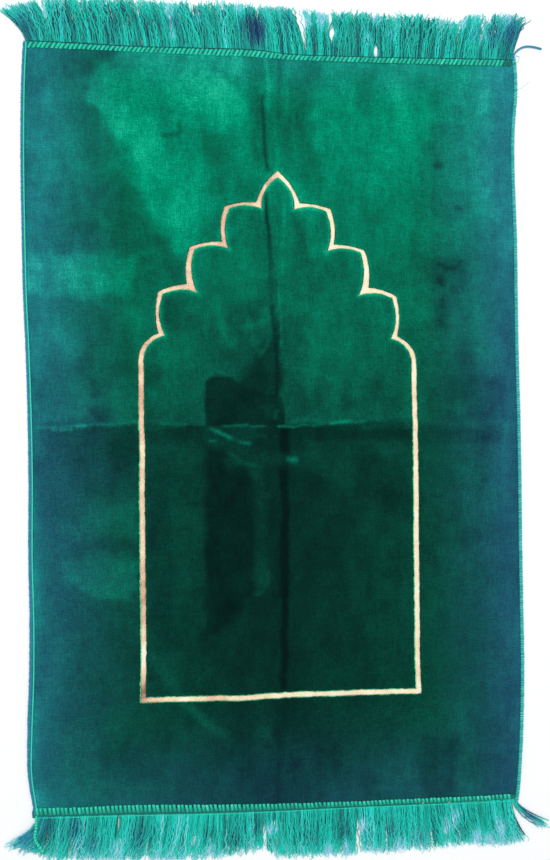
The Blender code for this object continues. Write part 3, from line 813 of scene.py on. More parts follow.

# %% [markdown]
# Where the cloth was pinched it has small wrinkles. Cloth simulation could make some, but never these
# ones, so each is a soft ridge, listed one by one. A faint swell lies over them all.

# %% Creases and wrinkles
WRINKLES = table(
    "from_x from_y to_x to_y wide rise",
    (208, 430, 228, 437, 4.5, 1.1), (228, 437, 250, 445, 4.5, 1.2), (208, 440, 218, 440, 3, 0.6),
    (262, 460, 297, 459, 5, 0.7), (318, 373, 340, 381, 3, 0.6), (246, 326, 258, 321, 3, 0.5),
    (240, 362, 272, 337, 5, 0.7), (322, 408, 356, 420, 7, 0.9), (276, 412, 268, 424, 4, 0.7),
    (180, 702, 220, 735, 7, 0.6), (66, 572, 92, 590, 7, 0.6), (92, 590, 122, 594, 7, 0.5),
)
SWELL, FINE_SWELL, SWELL_RISE = 70.0, 26.0, 0.22


def wrinkled(x, y):
    """How far wrinkles and swell lift the cloth, in mm."""
    lift = np.zeros_like(x)
    for row in WRINKLES:
        start = np.array(on_rug(row.from_x, row.from_y))
        way = np.array(on_rug(row.to_x, row.to_y)) - start
        t = np.clip(((x - start[0]) * way[0] + (y - start[1]) * way[1]) / (way @ way), 0.0, 1.0)
        aside = np.hypot(x - start[0] - way[0] * t, y - start[1] - way[1] * t)
        lift += row.rise * np.exp(-((aside / row.wide) ** 2))
    places = np.stack([x, y], -1)
    swell = uneven(places, SWELL, 5.5) + 0.5 * uneven(places, FINE_SWELL, 1.5)
    return (lift + SWELL_RISE * (swell + 1.0)) * smooth(np.minimum(*from_edges(x, y)) / CREASE_FADE)


def surface_height(x, y):
    return VELVET_THICKNESS + relief(x, y) + wrinkled(x, y)


FLOOR_LOOPS = (2, 3)  # the two loops at the bottom of the groove
face_x, face_y = face_points.T
face_z = surface_height(face_x, face_y) - np.where(np.isin(on_loop, FLOOR_LOOPS), LINE_DEPTH, 0.0)
back_x, back_y = back_points.T
back_z = np.maximum(0.0, relief(back_x, back_y))
face_part, back_part = np.stack([face_x, face_y, face_z], -1), np.stack([back_x, back_y, back_z], -1)
below = len(face_points)
faces = [tuple(t) for t in face_triangles]
faces += [(below + c, below + b, below + a) for a, b, c in back_triangles]
for k in range(len(outline)):
    after = (k + 1) % len(outline)
    faces.append((below + k, below + after, after, k))
velvet_data = plain_mesh("velvet", np.concatenate([face_part, back_part]) * MM, faces)
velvet = piece_of(velvet_data, "velvet")
print("the velvet rises to", round(float(face_z.max()), 1), "mm")

# %% [markdown]
# ## Where the pile leans, and its painted sheen and shade
#
# Velvet is light where its pile leans away from the light and dark where it leans towards it. Each point
# of the net has a number for that, named after the nap, from 0, the darkest, to 1: the pile's lean, with
# the sheen and shade that the light gives it painted in. First comes the broad change, up the rug and
# towards its sides; a painted sheen makes the upper half brighter.

# %% The broad change of the nap, with its painted sheen
NAP_SHADING_UP_THE_RUG = table(
    "far amount",
    (-545, 0.275), (-500, 0.25), (-440, 0.215), (-360, 0.185), (-100, 0.178), (0, 0.205),
)
# above the cross crease the pile is brighter: a painted sheen
NAP_SHEEN_ABOVE_CREASE = table(
    "far amount",
    (10, 0.345), (120, 0.4), (240, 0.455), (350, 0.525), (450, 0.56), (540, 0.585),
)
LEFT_EDGE_LIFT = table(
    "far amount",
    (0, 0.2), (6, 0.13), (16, 0.07), (34, 0.04), (60, 0.025), (110, 0.018), (160, 0),
)
BRIGHTER_TO_SIDES, HALF_WIDE = 0.19, 350.0
UPPER_LEFT_LIFT = 0.07
CREASE_TURNS_AT = 130.0  # right of here the change is slow
SHARP_CHANGE, SLOW_CHANGE = 3.4, 12.0


def read_off(rows, far):
    return np.interp(far, column(rows, "far"), column(rows, "amount"))


def above_crease(x, y):
    """1 above the cross crease, 0 below it: sharp on the left, slow on the right."""
    slow = smooth((x - CREASE_TURNS_AT) / 60.0)
    middle = through(CROSS_CREASE, "across", x) + 2.5 + 4.0 * slow
    return smooth(0.5 + (y - middle) / (SHARP_CHANGE + SLOW_CHANGE * slow))


def broad_nap_and_sheen(x, y):
    """The nap and its painted sheen before any patch is laid on it."""
    below = read_off(NAP_SHADING_UP_THE_RUG, y) + BRIGHTER_TO_SIDES * np.abs(x / HALF_WIDE) ** 1.3
    above = read_off(NAP_SHEEN_ABOVE_CREASE, y)
    broad = below + (above - below) * above_crease(x, y)
    far = x - velvet_x(-1, y)
    broad += read_off(LEFT_EDGE_LIFT, far) * smooth((-30.0 - y) / 100.0)
    return broad + UPPER_LEFT_LIFT * smooth((90.0 - far) / 60.0) * smooth((y - 60.0) / 60.0)


probe = np.array([60.0, 500.0, -500.0])
print("nap at the middle, the arch end and the foot:", np.round(broad_nap_and_sheen(np.zeros(3), probe), 2))

# %% [markdown]
# Seen at a slant the pile turns bluer, so the green goes over into blue towards the rug's edges. That
# blue is a painted sheen.

# %% How blue the green is
COOL_FROM_LEFT_ABOVE = table("far amount", (0, 1), (40, 0.83), (72, 0.5), (102, 0.25), (142, 0))
COOL_FROM_LEFT_BELOW = table(
    "far amount",
    (0, 0.92), (40, 0.7), (71, 0.48), (102, 0.28), (134, 0.14), (190, 0),
)
COOL_FROM_RIGHT = table("far amount", (0, 1.2), (28, 0.95), (60, 0.5), (91, 0.3), (122, 0.1), (150, 0))
COOL_FROM_TOP = table("far amount", (0, 0.4), (8, 0.35), (43, 0.1), (70, 0))
COOL_FROM_FOOT = table("far amount", (0, 0.6), (17, 0.55), (48, 0.4), (114, 0.1), (140, 0))
LEFT_ABOVE_SHARE, RIGHT_SHARE = 0.86, 0.92
COOL_WAVE, COOL_WAVE_AMOUNT = 40.0, 0.06


# A painted bluish sheen, strongest at the rug's edges.
def painted_blue_tint(x, y):
    from_left = x - velvet_x(-1, y)
    upper = smooth((y + 60.0) / 160.0)
    left_above = LEFT_ABOVE_SHARE * read_off(COOL_FROM_LEFT_ABOVE, from_left)
    left = read_off(COOL_FROM_LEFT_BELOW, from_left) * (1 - upper) + left_above * upper
    right = RIGHT_SHARE * read_off(COOL_FROM_RIGHT, velvet_x(1, y) - x)
    top = read_off(COOL_FROM_TOP, through(ARCH_END, "seam", x) - y)
    foot = read_off(COOL_FROM_FOOT, y + through(FOOT_END, "seam", x))
    return np.maximum(np.maximum(left, right), np.maximum(top, foot))


cool = painted_blue_tint(face_x, face_y)
cool += COOL_WAVE_AMOUNT * smooth(4.0 * cool) * uneven(face_points, COOL_WAVE, 8.8)
cool = np.clip(cool, 0.0, 1.0)
print("share of the velvet that is bluish:", round(float((cool > 0.3).mean()), 2))

# %% [markdown]
# ## Patches, dabs and strokes
#
# The rest is drawn in the photo's pixels, as one would chalk it on the rug. Patches are outlines, as x,
# y, x, y and so on, with a soft edge. Each says what the nap's number becomes there and how strongly:
# the pile's lean with its painted sheen and shade. A picture of the velvet could be wrapped on it
# instead, but it would bring the photo's own light along.

# %% Patches in the pile
PATCHES = table(
    "nap soft weight outline",
    (0.45, 24, 0.9, (10, 40, 126, 44, 96, 84, 120, 150, 140, 250, 10, 250)),
    (0.5, 16, 0.8, (16, 96, 60, 96, 70, 140, 60, 240, 16, 240)),
    (0.37, 9, 0.7, (60, 44, 124, 44, 104, 62, 90, 76, 64, 84)),
    (0.47, 10, 0.7, (76, 112, 104, 116, 124, 146, 100, 150, 78, 140)),
    (0.6, 6, 0.95, (134, 40, 250, 40, 252, 96, 222, 130, 196, 150, 200, 236, 176, 262, 160, 240, 150, 216,
        145, 190, 141, 166, 130, 148, 116, 130, 104, 114, 90, 99, 87, 85, 94, 72, 106, 61, 120, 52)),
    (0.58, 14, 0.9, (150, 150, 212, 150, 236, 190, 210, 214, 196, 250, 172, 250, 156, 200)),
    (0.66, 14, 0.8, (100, 112, 120, 100, 142, 116, 142, 156, 122, 142)),
    (0.66, 9, 0.8, (84, 96, 100, 82, 114, 88, 112, 104, 98, 106)),
    (0.65, 14, 0.7, (142, 84, 180, 70, 244, 62, 240, 96, 178, 108, 142, 102)),
    (0.48, 12, 0.7, (200, 136, 230, 136, 228, 162, 204, 162)),
    (0.5, 10, 0.7, (210, 214, 240, 210, 250, 232, 214, 236)),
    (0.38, 16, 0.8, (84, 186, 128, 176, 140, 196, 142, 222, 100, 222)),
    (0.41, 14, 0.8, (60, 222, 158, 222, 172, 240, 176, 256, 60, 250)),
    (0.47, 16, 0.7, (240, 50, 312, 50, 312, 170, 268, 176, 246, 140)),
    (0.41, 9, 0.8, (251, 92, 259, 92, 263, 140, 254, 138)),
    (0.59, 12, 0.85, (16, 254, 134, 252, 134, 290, 90, 302, 16, 296)),
    (0.62, 14, 0.7, (64, 264, 112, 262, 110, 292, 76, 298)),
    (0.43, 12, 0.7, (50, 300, 136, 296, 136, 316, 50, 318)),
    (0.42, 9, 0.8, (137, 256, 184, 256, 180, 288, 150, 296, 137, 292)),
    (0.46, 12, 0.7, (138, 304, 156, 298, 152, 330, 136, 340)),
    (0.36, 10, 0.8, (162, 300, 196, 294, 200, 330, 170, 336)),
    (0.295, 18, 0.8, (214, 310, 264, 300, 266, 380, 222, 380, 206, 350)),
    (0.19, 14, 0.9, (232, 386, 242, 370, 256, 356, 266, 338, 279, 318, 284, 350, 284, 400, 232, 400)),
    (0.155, 4, 0.9, (205, 384, 209, 379, 216, 377, 232, 378, 238, 383, 252, 390, 284, 396, 284, 428,
        206, 428)),
    (0.29, 7, 0.75, (88, 376, 98, 376, 106, 398, 108, 424, 96, 424, 90, 398)),
    (0.46, 16, 0.8, (40, 376, 88, 376, 92, 424, 40, 424)),
    (0.44, 12, 0.8, (112, 380, 138, 376, 138, 426, 112, 426)),
    (0.42, 12, 0.8, (148, 380, 166, 380, 168, 404, 148, 408)),
    (0.28, 12, 0.85, (284, 372, 304, 380, 308, 424, 284, 424)),
    (0.33, 14, 0.8, (286, 318, 306, 318, 308, 376, 288, 372)),
    (0.42, 18, 0.7, (322, 300, 386, 298, 386, 360, 330, 402)),
    (0.36, 12, 0.8, (290, 214, 306, 222, 312, 300, 294, 300)),
    (0.47, 16, 0.7, (316, 196, 338, 206, 336, 250, 318, 250)),
    (0.33, 16, 0.8, (424, 360, 444, 350, 470, 356, 480, 378, 466, 400, 440, 410, 424, 404)),
    (0.49, 12, 0.7, (396, 286, 430, 286, 430, 324, 400, 322)),
    (0.46, 16, 0.7, (462, 300, 504, 300, 504, 360, 462, 350)),
    (0.38, 16, 0.45, (424, 240, 438, 236, 440, 262, 452, 256, 468, 262, 462, 280, 448, 284, 444, 300,
        428, 300)),
    (0.35, 14, 0.6, (418, 296, 442, 300, 446, 350, 440, 405, 420, 400)),
    (0.5, 3, 0.5, (416, 160, 432, 160, 432, 225, 416, 225)),
    (0.46, 3, 0.75, (410, 225, 432, 225, 432, 320, 410, 320)),
    (0.375, 4, 0.4, (416, 320, 432, 320, 432, 372, 416, 372)),
    (0.42, 3, 0.5, (432, 122, 466, 126, 472, 200, 468, 270, 432, 270)),
    (0.385, 3, 0.2, (432, 270, 468, 270, 476, 330, 432, 330)),
    (0.295, 6, 0.7, (430, 374, 506, 376, 506, 428, 430, 428)),
    (0.28, 14, 0.7, (78, 428, 140, 426, 140, 470, 100, 500, 70, 480)),
    (0.24, 12, 0.7, (108, 430, 140, 428, 140, 466, 110, 480)),
    (0.21, 9, 0.7, (146, 430, 204, 430, 204, 446, 146, 446)),
    (0.4, 16, 0.8, (56, 508, 140, 500, 140, 540, 90, 546, 56, 540)),
    (0.27, 14, 0.4, (96, 536, 120, 540, 140, 540, 140, 556, 116, 556, 100, 552)),
    (0.44, 16, 0.8, (58, 562, 96, 554, 140, 560, 140, 590, 100, 600, 66, 588)),
    (0.32, 14, 0.6, (90, 604, 140, 602, 140, 634, 96, 634)),
    (0.24, 16, 0.7, (146, 450, 204, 450, 204, 680, 146, 680)),
    (0.28, 14, 0.6, (172, 506, 206, 504, 206, 588, 176, 586)),
    (0.145, 9, 0.9, (205, 446, 252, 458, 255, 590, 240, 615, 206, 640)),
    (0.205, 6, 0.8, (254, 478, 267, 480, 266, 584, 256, 598)),
    (0.16, 5, 0.6, (268, 500, 280, 496, 280, 600, 270, 600)),
    (0.25, 8, 0.6, (222, 456, 268, 452, 268, 468, 230, 466)),
    (0.105, 5, 0.95, (280, 428, 289, 428, 288, 560, 289, 640, 287, 690, 281, 690)),
    (0.21, 8, 0.7, (291, 540, 306, 544, 304, 604, 293, 600)),
    (0.25, 14, 0.6, (300, 442, 350, 440, 352, 476, 306, 476)),
    (0.18, 7, 0.7, (292, 428, 414, 428, 414, 438, 294, 440)),
    (0.2, 16, 0.6, (360, 458, 406, 456, 406, 506, 364, 504)),
    (0.3, 12, 0.6, (420, 446, 438, 444, 438, 516, 420, 516)),
    (0.25, 8, 0.6, (418, 426, 500, 426, 500, 442, 418, 444)),
    (0.38, 18, 0.7, (450, 458, 512, 454, 512, 560, 474, 550)),
    (0.29, 12, 0.6, (150, 650, 184, 652, 182, 692, 152, 690)),
    (0.25, 16, 0.8, (420, 732, 460, 732, 460, 804, 424, 804)),
    (0.3, 18, 0.7, (470, 690, 516, 680, 516, 804, 470, 804)),
    (0.28, 14, 0.6, (100, 740, 160, 740, 160, 780, 100, 780)),
)
print(len(PATCHES), "patches")

# %% [markdown]
# Dabs are what a hand or a knee leaves: small oval marks of pressed pile, drawn in painted sheen and
# shade. Each lies in a box of the photo's pixels.

# %% Dabs in the pile
DABS = table(
    "nap weight left top right bottom",
    (0.58, 0.7, 34, 84, 55, 112), (0.38, 0.5, 134, 208, 154, 226), (0.44, 0.6, 205, 175, 230, 204),
    (0.62, 0.5, 388, 70, 420, 146), (0.6, 0.5, 360, 96, 380, 124), (0.61, 0.5, 430, 64, 508, 114),
    (0.57, 0.4, 345, 120, 375, 145), (0.53, 0.5, 425, 218, 465, 236), (0.46, 0.6, 294, 56, 312, 72),
    (0.42, 0.6, 292, 98, 308, 130), (0.46, 0.5, 350, 76, 372, 110), (0.46, 0.6, 322, 107, 336, 121),
    (0.45, 0.5, 311, 116, 329, 134), (0.46, 0.5, 294, 146, 326, 206), (0.45, 0.5, 447, 102, 464, 119),
    (0.47, 0.5, 434, 114, 466, 206), (0.4, 0.8, 429, 157, 445, 172), (0.4, 0.7, 449, 201, 466, 216),
    (0.48, 0.4, 490, 60, 518, 120), (0.44, 0.7, 492, 164, 518, 206), (0.45, 0.6, 182, 297, 203, 315),
    (0.41, 0.5, 222, 292, 238, 348), (0.43, 0.6, 242, 319, 261, 333), (0.42, 0.5, 243, 332, 262, 344),
    (0.35, 0.6, 430, 271, 448, 289), (0.37, 0.5, 441, 258, 466, 279), (0.34, 0.5, 429, 296, 449, 405),
    (0.48, 0.6, 434, 340, 446, 353), (0.41, 0.5, 436, 400, 474, 414), (0.3, 0.5, 336, 391, 362, 409),
    (0.3, 0.5, 381, 396, 399, 424), (0.42, 0.5, 398, 408, 412, 422), (0.27, 0.7, 253, 463, 265, 478),
    (0.24, 0.7, 259, 487, 273, 500), (0.24, 0.5, 241, 597, 252, 611), (0.3, 0.8, 287, 453, 300, 464),
    (0.24, 0.6, 290, 570, 302, 590), (0.27, 0.5, 342, 461, 358, 494), (0.3, 0.5, 376, 438, 410, 459),
    (0.27, 0.4, 336, 546, 364, 569), (0.29, 0.5, 370, 570, 397, 604), (0.36, 0.5, 436, 518, 460, 536),
    (0.36, 0.5, 438, 540, 462, 554), (0.26, 0.5, 462, 525, 486, 550), (0.26, 0.4, 451, 555, 467, 605),
    (0.44, 0.6, 33, 686, 63, 704), (0.3, 0.5, 255, 728, 276, 746), (0.36, 0.5, 114, 770, 140, 795),
    (0.36, 0.5, 98, 786, 122, 803), (0.18, 0.6, 272, 700, 288, 750), (0.22, 0.5, 330, 750, 346, 790),
    (0.22, 0.5, 358, 765, 378, 800), (0.4, 0.4, 497, 609, 511, 628), (0.38, 0.4, 495, 636, 516, 664),
    (0.38, 0.5, 30, 740, 76, 800), (0.34, 0.5, 76, 590, 100, 604), (0.5, 0.5, 92, 52, 116, 76),
    (0.53, 0.5, 66, 106, 94, 186), (0.62, 0.5, 164, 136, 190, 160), (0.5, 0.5, 116, 192, 140, 216),
    (0.58, 0.5, 210, 216, 240, 248), (0.5, 0.5, 188, 246, 214, 274), (0.45, 0.5, 142, 304, 164, 330),
    (0.44, 0.5, 94, 394, 140, 424), (0.36, 0.6, 40, 416, 70, 444), (0.28, 0.5, 262, 446, 326, 470),
    (0.33, 0.5, 46, 500, 90, 524), (0.52, 0.5, 26, 268, 44, 306), (0.44, 0.6, 24, 364, 42, 468),
    (0.4, 0.6, 24, 644, 42, 716), (0.34, 0.6, 500, 780, 520, 802), (0.3, 0.6, 434, 259, 443, 268),
    (0.3, 0.6, 446, 268, 456, 277), (0.29, 0.6, 438, 280, 446, 290), (0.33, 0.6, 450, 286, 460, 296),
    (0.3, 0.5, 434, 298, 444, 310), (0.31, 0.5, 430, 318, 440, 334), (0.27, 0.6, 143, 364, 164, 386),
    (0.66, 0.7, 20, 256, 48, 302), (0.5, 0.6, 20, 318, 46, 404), (0.47, 0.7, 22, 404, 46, 474),
    (0.25, 0.6, 261, 398, 281, 426), (0.22, 0.5, 238, 400, 252, 424), (0.47, 0.5, 76, 396, 142, 412),
    (0.62, 0.6, 214, 222, 234, 244), (0.58, 0.5, 238, 138, 256, 160), (0.4, 0.5, 334, 108, 354, 134),
    (0.4, 0.5, 284, 166, 308, 188), (0.42, 0.5, 452, 194, 476, 216),
)
print(len(DABS), "dabs")

# %% [markdown]
# A crease breaks the pile into thin bright and dark lines, painted as highlights and shade: strokes,
# this many pixels wide.

# %% Strokes in the pile
STROKES = table(
    "nap wide weight line",
    (0.4, 2.2, 0.8, (163, 135, 175, 134, 181, 130, 179, 124)), (0.5, 3.5, 0.6, (212, 66, 232, 80, 250, 98)),
    # the long crease above the arch: broad shade, dark core, then lighter and darker bands at its right
    (0.38, 2.4, 0.5, (256, 88, 258, 98, 261, 110)), (0.26, 2, 0.75, (262, 96, 264, 124, 265, 146, 267, 168)),
    (0.63, 2.4, 0.85, (266, 56, 268, 84, 269, 110)),
    (0.56, 2, 0.7, (272, 104, 274, 130, 277, 150, 279, 166)), (0.4, 2.8, 0.75, (279, 56, 279, 116)),
    (0.55, 3.4, 0.6, (291, 48, 287, 84, 288, 110)), (0.54, 2.4, 0.6, (274, 130, 277, 154)),
    (0.5, 1.6, 0.5, (269, 160, 276, 176)), (0.4, 5, 0.5, (284, 136, 290, 160, 300, 176)),
    # inside the arch
    (0.23, 2, 0.85, (266, 194, 267, 214, 269, 240, 271, 268)),
    (0.33, 3, 0.7, (269, 240, 270, 270, 271, 300)), (0.34, 7, 0.5, (256, 256, 264, 290)),
    (0.2, 2.4, 0.8, (272, 306, 274, 330, 276, 350)), (0.14, 2.2, 0.8, (277, 344, 277, 372, 277, 394)),
    (0.55, 2, 0.7, (284, 200, 284, 228, 282, 250, 283, 272)),
    (0.54, 2, 0.65, (277, 230, 278, 262, 279, 290, 280, 310)),
    (0.46, 1.8, 0.5, (280, 306, 281, 326, 282, 344)), (0.42, 2.4, 0.5, (287, 262, 287, 300, 285, 326)),
    (0.34, 2.4, 0.6, (284, 336, 290, 352, 290, 372, 286, 390)),
    # the cross crease, from left to right
    (0.6, 1.1, 0.6, (30, 428, 62, 427, 80, 426, 91, 426)), (0.62, 1.2, 0.75, (53, 430, 72, 430)),
    (0.68, 1.3, 0.7, (77, 426, 85, 426)), (0.54, 1.6, 0.65, (92, 425, 116, 424, 138, 422)),
    (0.44, 1.7, 0.7, (160, 423, 175, 425, 186, 426)), (0.2, 1.5, 0.6, (186, 428, 206, 427)),
    (0.46, 1.5, 0.8, (211, 429, 218, 431)), (0.46, 1.2, 0.8, (210, 441, 216, 441)),
    (0.56, 2.3, 0.85, (217, 432, 224, 435, 231, 439)), (0.5, 0.9, 0.75, (224, 426, 238, 425, 246, 425)),
    (0.55, 0.9, 0.85, (251, 427, 264, 427)), (0.58, 1, 0.9, (278, 427, 285, 426, 294, 427)),
    (0.34, 2.4, 0.6, (228, 452, 244, 463, 256, 465)), (0.5, 2.3, 0.85, (288, 459, 296, 459)),
    (0.27, 2.6, 0.5, (260, 466, 262, 474, 262, 486)), (0.29, 1.4, 0.6, (263, 492, 269, 495)),
    (0.25, 6, 0.7, (261, 506, 261, 540, 260, 582)),
    (0.28, 2.4, 0.6, (268, 572, 267, 584, 262, 591, 254, 594)), (0.34, 1.8, 0.6, (275, 418, 277, 411)),
    (0.58, 5.5, 0.45, (218, 300, 222, 326, 230, 344)), (0.53, 2.8, 0.4, (244, 328, 255, 326, 263, 320)),
    (0.44, 2, 0.45, (260, 353, 266, 348, 269, 340)), (0.38, 1.5, 0.7, (222, 426, 240, 426, 248, 425)),
    (0.33, 1.6, 0.7, (231, 440, 240, 441)), (0.43, 1.7, 0.8, (241, 443, 250, 444)),
    (0.28, 1.4, 0.7, (252, 427, 266, 427)), (0.28, 1.4, 0.6, (256, 436, 266, 437)),
    (0.38, 1.5, 0.8, (281, 427, 290, 426)),
    (0.47, 1, 0.75, (296, 427, 304, 425, 313, 426, 322, 424, 330, 423)),
    (0.45, 2.2, 0.7, (292, 421, 298, 420)), (0.47, 1, 0.6, (350, 422, 357, 423, 362, 423)),
    (0.34, 2.2, 0.6, (293, 420, 308, 421)), (0.41, 3, 0.7, (308, 419, 320, 422, 330, 421)),
    (0.62, 1.6, 0.85, (331, 423, 340, 422, 350, 422)), (0.44, 1.6, 0.7, (350, 422, 366, 421)),
    (0.47, 1.3, 0.8, (311, 374, 322, 375, 336, 381)), (0.44, 1.6, 0.5, (334, 402, 346, 403)),
    (0.47, 4, 0.7, (64, 566, 72, 580, 84, 588, 100, 593, 128, 597)),
    (0.33, 6, 0.7, (154, 660, 166, 676, 183, 698, 200, 716, 222, 734)),
    (0.37, 3, 0.5, (184, 704, 202, 721, 219, 732)), (0.19, 2.4, 0.5, (279, 746, 279, 804)),
    # small dents, dark with painted shade, and two bare spots in the field at the right
    (0.27, 2.6, 0.7, (435, 166, 441, 165)), (0.29, 2.4, 0.7, (457, 207, 461, 208)),
    (0.26, 1.8, 0.7, (437, 262, 446, 268, 454, 271, 462, 261)), (0.24, 3, 0.65, (439, 279, 441, 285)),
    (0.28, 2.2, 0.65, (440, 301, 440, 304)), (0.27, 2.6, 0.6, (438, 318, 441, 324)),
    (0.45, 2.6, 0.5, (440, 222, 452, 221, 462, 228)), (0.42, 1.8, 0.6, (438, 349, 443, 349)),
)
print(len(STROKES), "strokes")

# %% [markdown]
# The marks are laid over the broad change one after another. Their edges wander, because nothing brushed
# has a drawn edge.

# %% Painting the nap, with its sheen and shade
PATCH_WANDER = 4.0  # how far a soft edge strays, in pixels
STROKE_WANDER = 0.6
FULL_WANDER_SOFTNESS = 14.0
BROAD_WANDER, NARROW_WANDER = 34.0, 13.0
CREASE_AT = 427  # the cross crease's row in the photo
# LINE_GLOW and OUTER_GLOW paint a highlight of the pile along both edges of the gold line
LINE_GLOW = 0.2  # beside the gold line
OUTER_GLOW = 0.45
GLOW_REACH, GLOW_WIDE = 6.0, 3.0
CRUSHED_BELOW, CRUSHED_ABOVE = 0.06, 0.07
STREAK_AMOUNT, BLOTCH_AMOUNT = 0.02, 0.014


def points_of(line):
    """Points out of x, y, x, y and so on."""
    return list(zip(line[::2], line[1::2]))


def to_segments(px, py, line):
    """The distance from points to an open line, in the line's own units."""
    nearest = np.full(len(px), 1e9)
    for (ax, ay), (bx, by) in zip(line, line[1:]):
        t = ((px - ax) * (bx - ax) + (py - ay) * (by - ay)) / ((bx - ax) ** 2 + (by - ay) ** 2)
        t = np.clip(t, 0.0, 1.0)
        nearest = np.minimum(nearest, np.hypot(px - ax - (bx - ax) * t, py - ay - (by - ay) * t))
    return nearest


# A painted highlight of the pile beside the gold line, strongest in the upper part.
def painted_glow_beside_line(x, y):
    glow = np.zeros(len(x))
    for loop, strength in ((inner_edge, 1.0), (outer_edge, OUTER_GLOW)):
        for loop_x, loop_y in loop:
            near = np.abs(y - loop_y) < GLOW_REACH
            far = np.hypot(x[near] - loop_x, y[near] - loop_y)
            glow[near] = np.maximum(glow[near], strength * np.exp(-((far / GLOW_WIDE) ** 2)))
    return glow * (0.2 + 0.9 * smooth((y - 60.0) / 80.0))


def wandering(places, seed):
    return uneven(places, BROAD_WANDER, seed) + 0.5 * uneven(places, NARROW_WANDER, seed + 5.5)


def mottled(nap, places):
    """The nap with streaks, crushed pile and blotches."""
    streaks = uneven(places, 8.0, 4.4, (1.0, 6.0)) + uneven(places, 8.0, 5.4, (6.0, 1.0))
    crushed = 0.4 * uneven(places, 70.0, 4.4) + 0.5 * uneven(places, 24.0, 14.4, (1.0, 2.2))
    crushed += 0.4 * (smooth(0.5 + 1.6 * uneven(places, 15.0, 6.6, (1.0, 1.6))) - 0.5)
    amount = CRUSHED_BELOW + CRUSHED_ABOVE * smooth((places[:, 1] + 20.0) / 60.0)
    blotches = uneven(places, 26.0, 24.4, (1.0, 1.4)) + 0.6 * uneven(places, 11.0, 34.4)
    return nap * (1.0 + amount * crushed + STREAK_AMOUNT * streaks) + BLOTCH_AMOUNT * blotches


def painted_nap_and_shading(x, y, z):
    nap = broad_nap_and_sheen(x, y)
    places = np.stack([x, y], -1)
    true_px, true_py = in_photo(x, y, z)
    aside, ahead = wandering(places, 2.2), wandering(places, 12.2)
    above = above_crease(x, y)
    for patch in PATCHES:
        wander = PATCH_WANDER * min(1.0, patch.soft / FULL_WANDER_SOFTNESS)
        px, py = true_px + wander * aside, true_py + wander * ahead
        outline = points_of(patch.outline)
        far = to_segments(px, py, outline + outline[:1])
        depth = np.where(inside(px, py, outline), far, -far)
        is_above = sum(patch.outline[1::2]) < CREASE_AT * len(outline)
        here = above if is_above else 1 - above
        nap += (patch.nap - nap) * patch.weight * here * smooth(0.5 + depth / patch.soft)
    px, py = true_px + PATCH_WANDER * aside, true_py + PATCH_WANDER * ahead
    for dab in DABS:
        u = (px - (dab.left + dab.right) / 2) / (dab.right - dab.left) * 2
        v = (py - (dab.top + dab.bottom) / 2) / (dab.bottom - dab.top) * 2
        nap += (dab.nap - nap) * dab.weight * smooth((1.25 - (u * u + v * v)) / 1.2)
    px, py = true_px + STROKE_WANDER * aside, true_py + STROKE_WANDER * ahead
    for stroke in STROKES:
        far = to_segments(px, py, points_of(stroke.line)) / stroke.wide
        nap += (stroke.nap - nap) * stroke.weight * np.exp(-far * far)
    return mottled(nap, places) + LINE_GLOW * painted_glow_beside_line(x, y)


nap = painted_nap_and_shading(face_x, face_y, face_z)
BACK_NAP_AND_SHADING = 0.3
for name, values in (("nap", nap), ("cool", cool)):
    write_on(velvet_data, name, np.append(values, np.full(len(back_points), BACK_NAP_AND_SHADING)))
print("nap runs from", round(float(nap.min()), 2), "to", round(float(nap.max()), 2))

# %% [markdown]
# ## The velvet's finish
#
# Real velvet is a forest of short threads, and millions of hairs are no use in a part. The finish shows
# them as a fine grain in the colour, faint ribs along the weave and a bump of single tufts. A weak green
# sheen adds velvet's bright rim.

# %% The velvet's finish
# Colours for the nap's number: the dark end is pile in painted shade, the bright end pile in painted sheen.
# The blue ramp paints the bluish sheen towards the edges.
GREEN_NAP_SHADING = (
    (0, 5, 20, 20), (0.12, 7, 31, 28), (0.22, 9, 56, 46), (0.35, 11, 90, 70), (0.5, 6, 128, 97),
    (0.62, 0, 160, 122), (0.74, 14, 192, 146), (0.9, 60, 222, 180),
)
BLUE_SHEEN_NAP_SHADING = (
    (0, 12, 22, 38), (0.12, 16, 32, 52), (0.22, 26, 56, 82), (0.35, 35, 90, 114), (0.5, 38, 128, 140),
    (0.62, 40, 158, 162), (0.74, 60, 192, 190), (0.9, 96, 218, 215),
)
# each layer of grain: the size of its spots in mm, how rough they are, how they are drawn out, and
# how much it changes the nap
GRAIN = table(
    "size detail stretch amount",
    (1.5, 3, (1, 1, 1), 0.90), (4.5, 2, (1, 1, 1), 0.12), (1.7, 2, (1, 9, 1), 0.36),
    (1.7, 2, (9, 1, 1), 0.26), (6, 2, (1, 14, 1), 0.08), (9, 2, (1, 1, 1), 0.18),
)
TUFTS, CLUMPS = 0, 1  # layers that are used again
HUE_CLUMPS = 0.2
SHEEN_ROUGHNESS = 0.5
SHEEN_TINT = (0.0, 1.0, 0.7, 1.0)

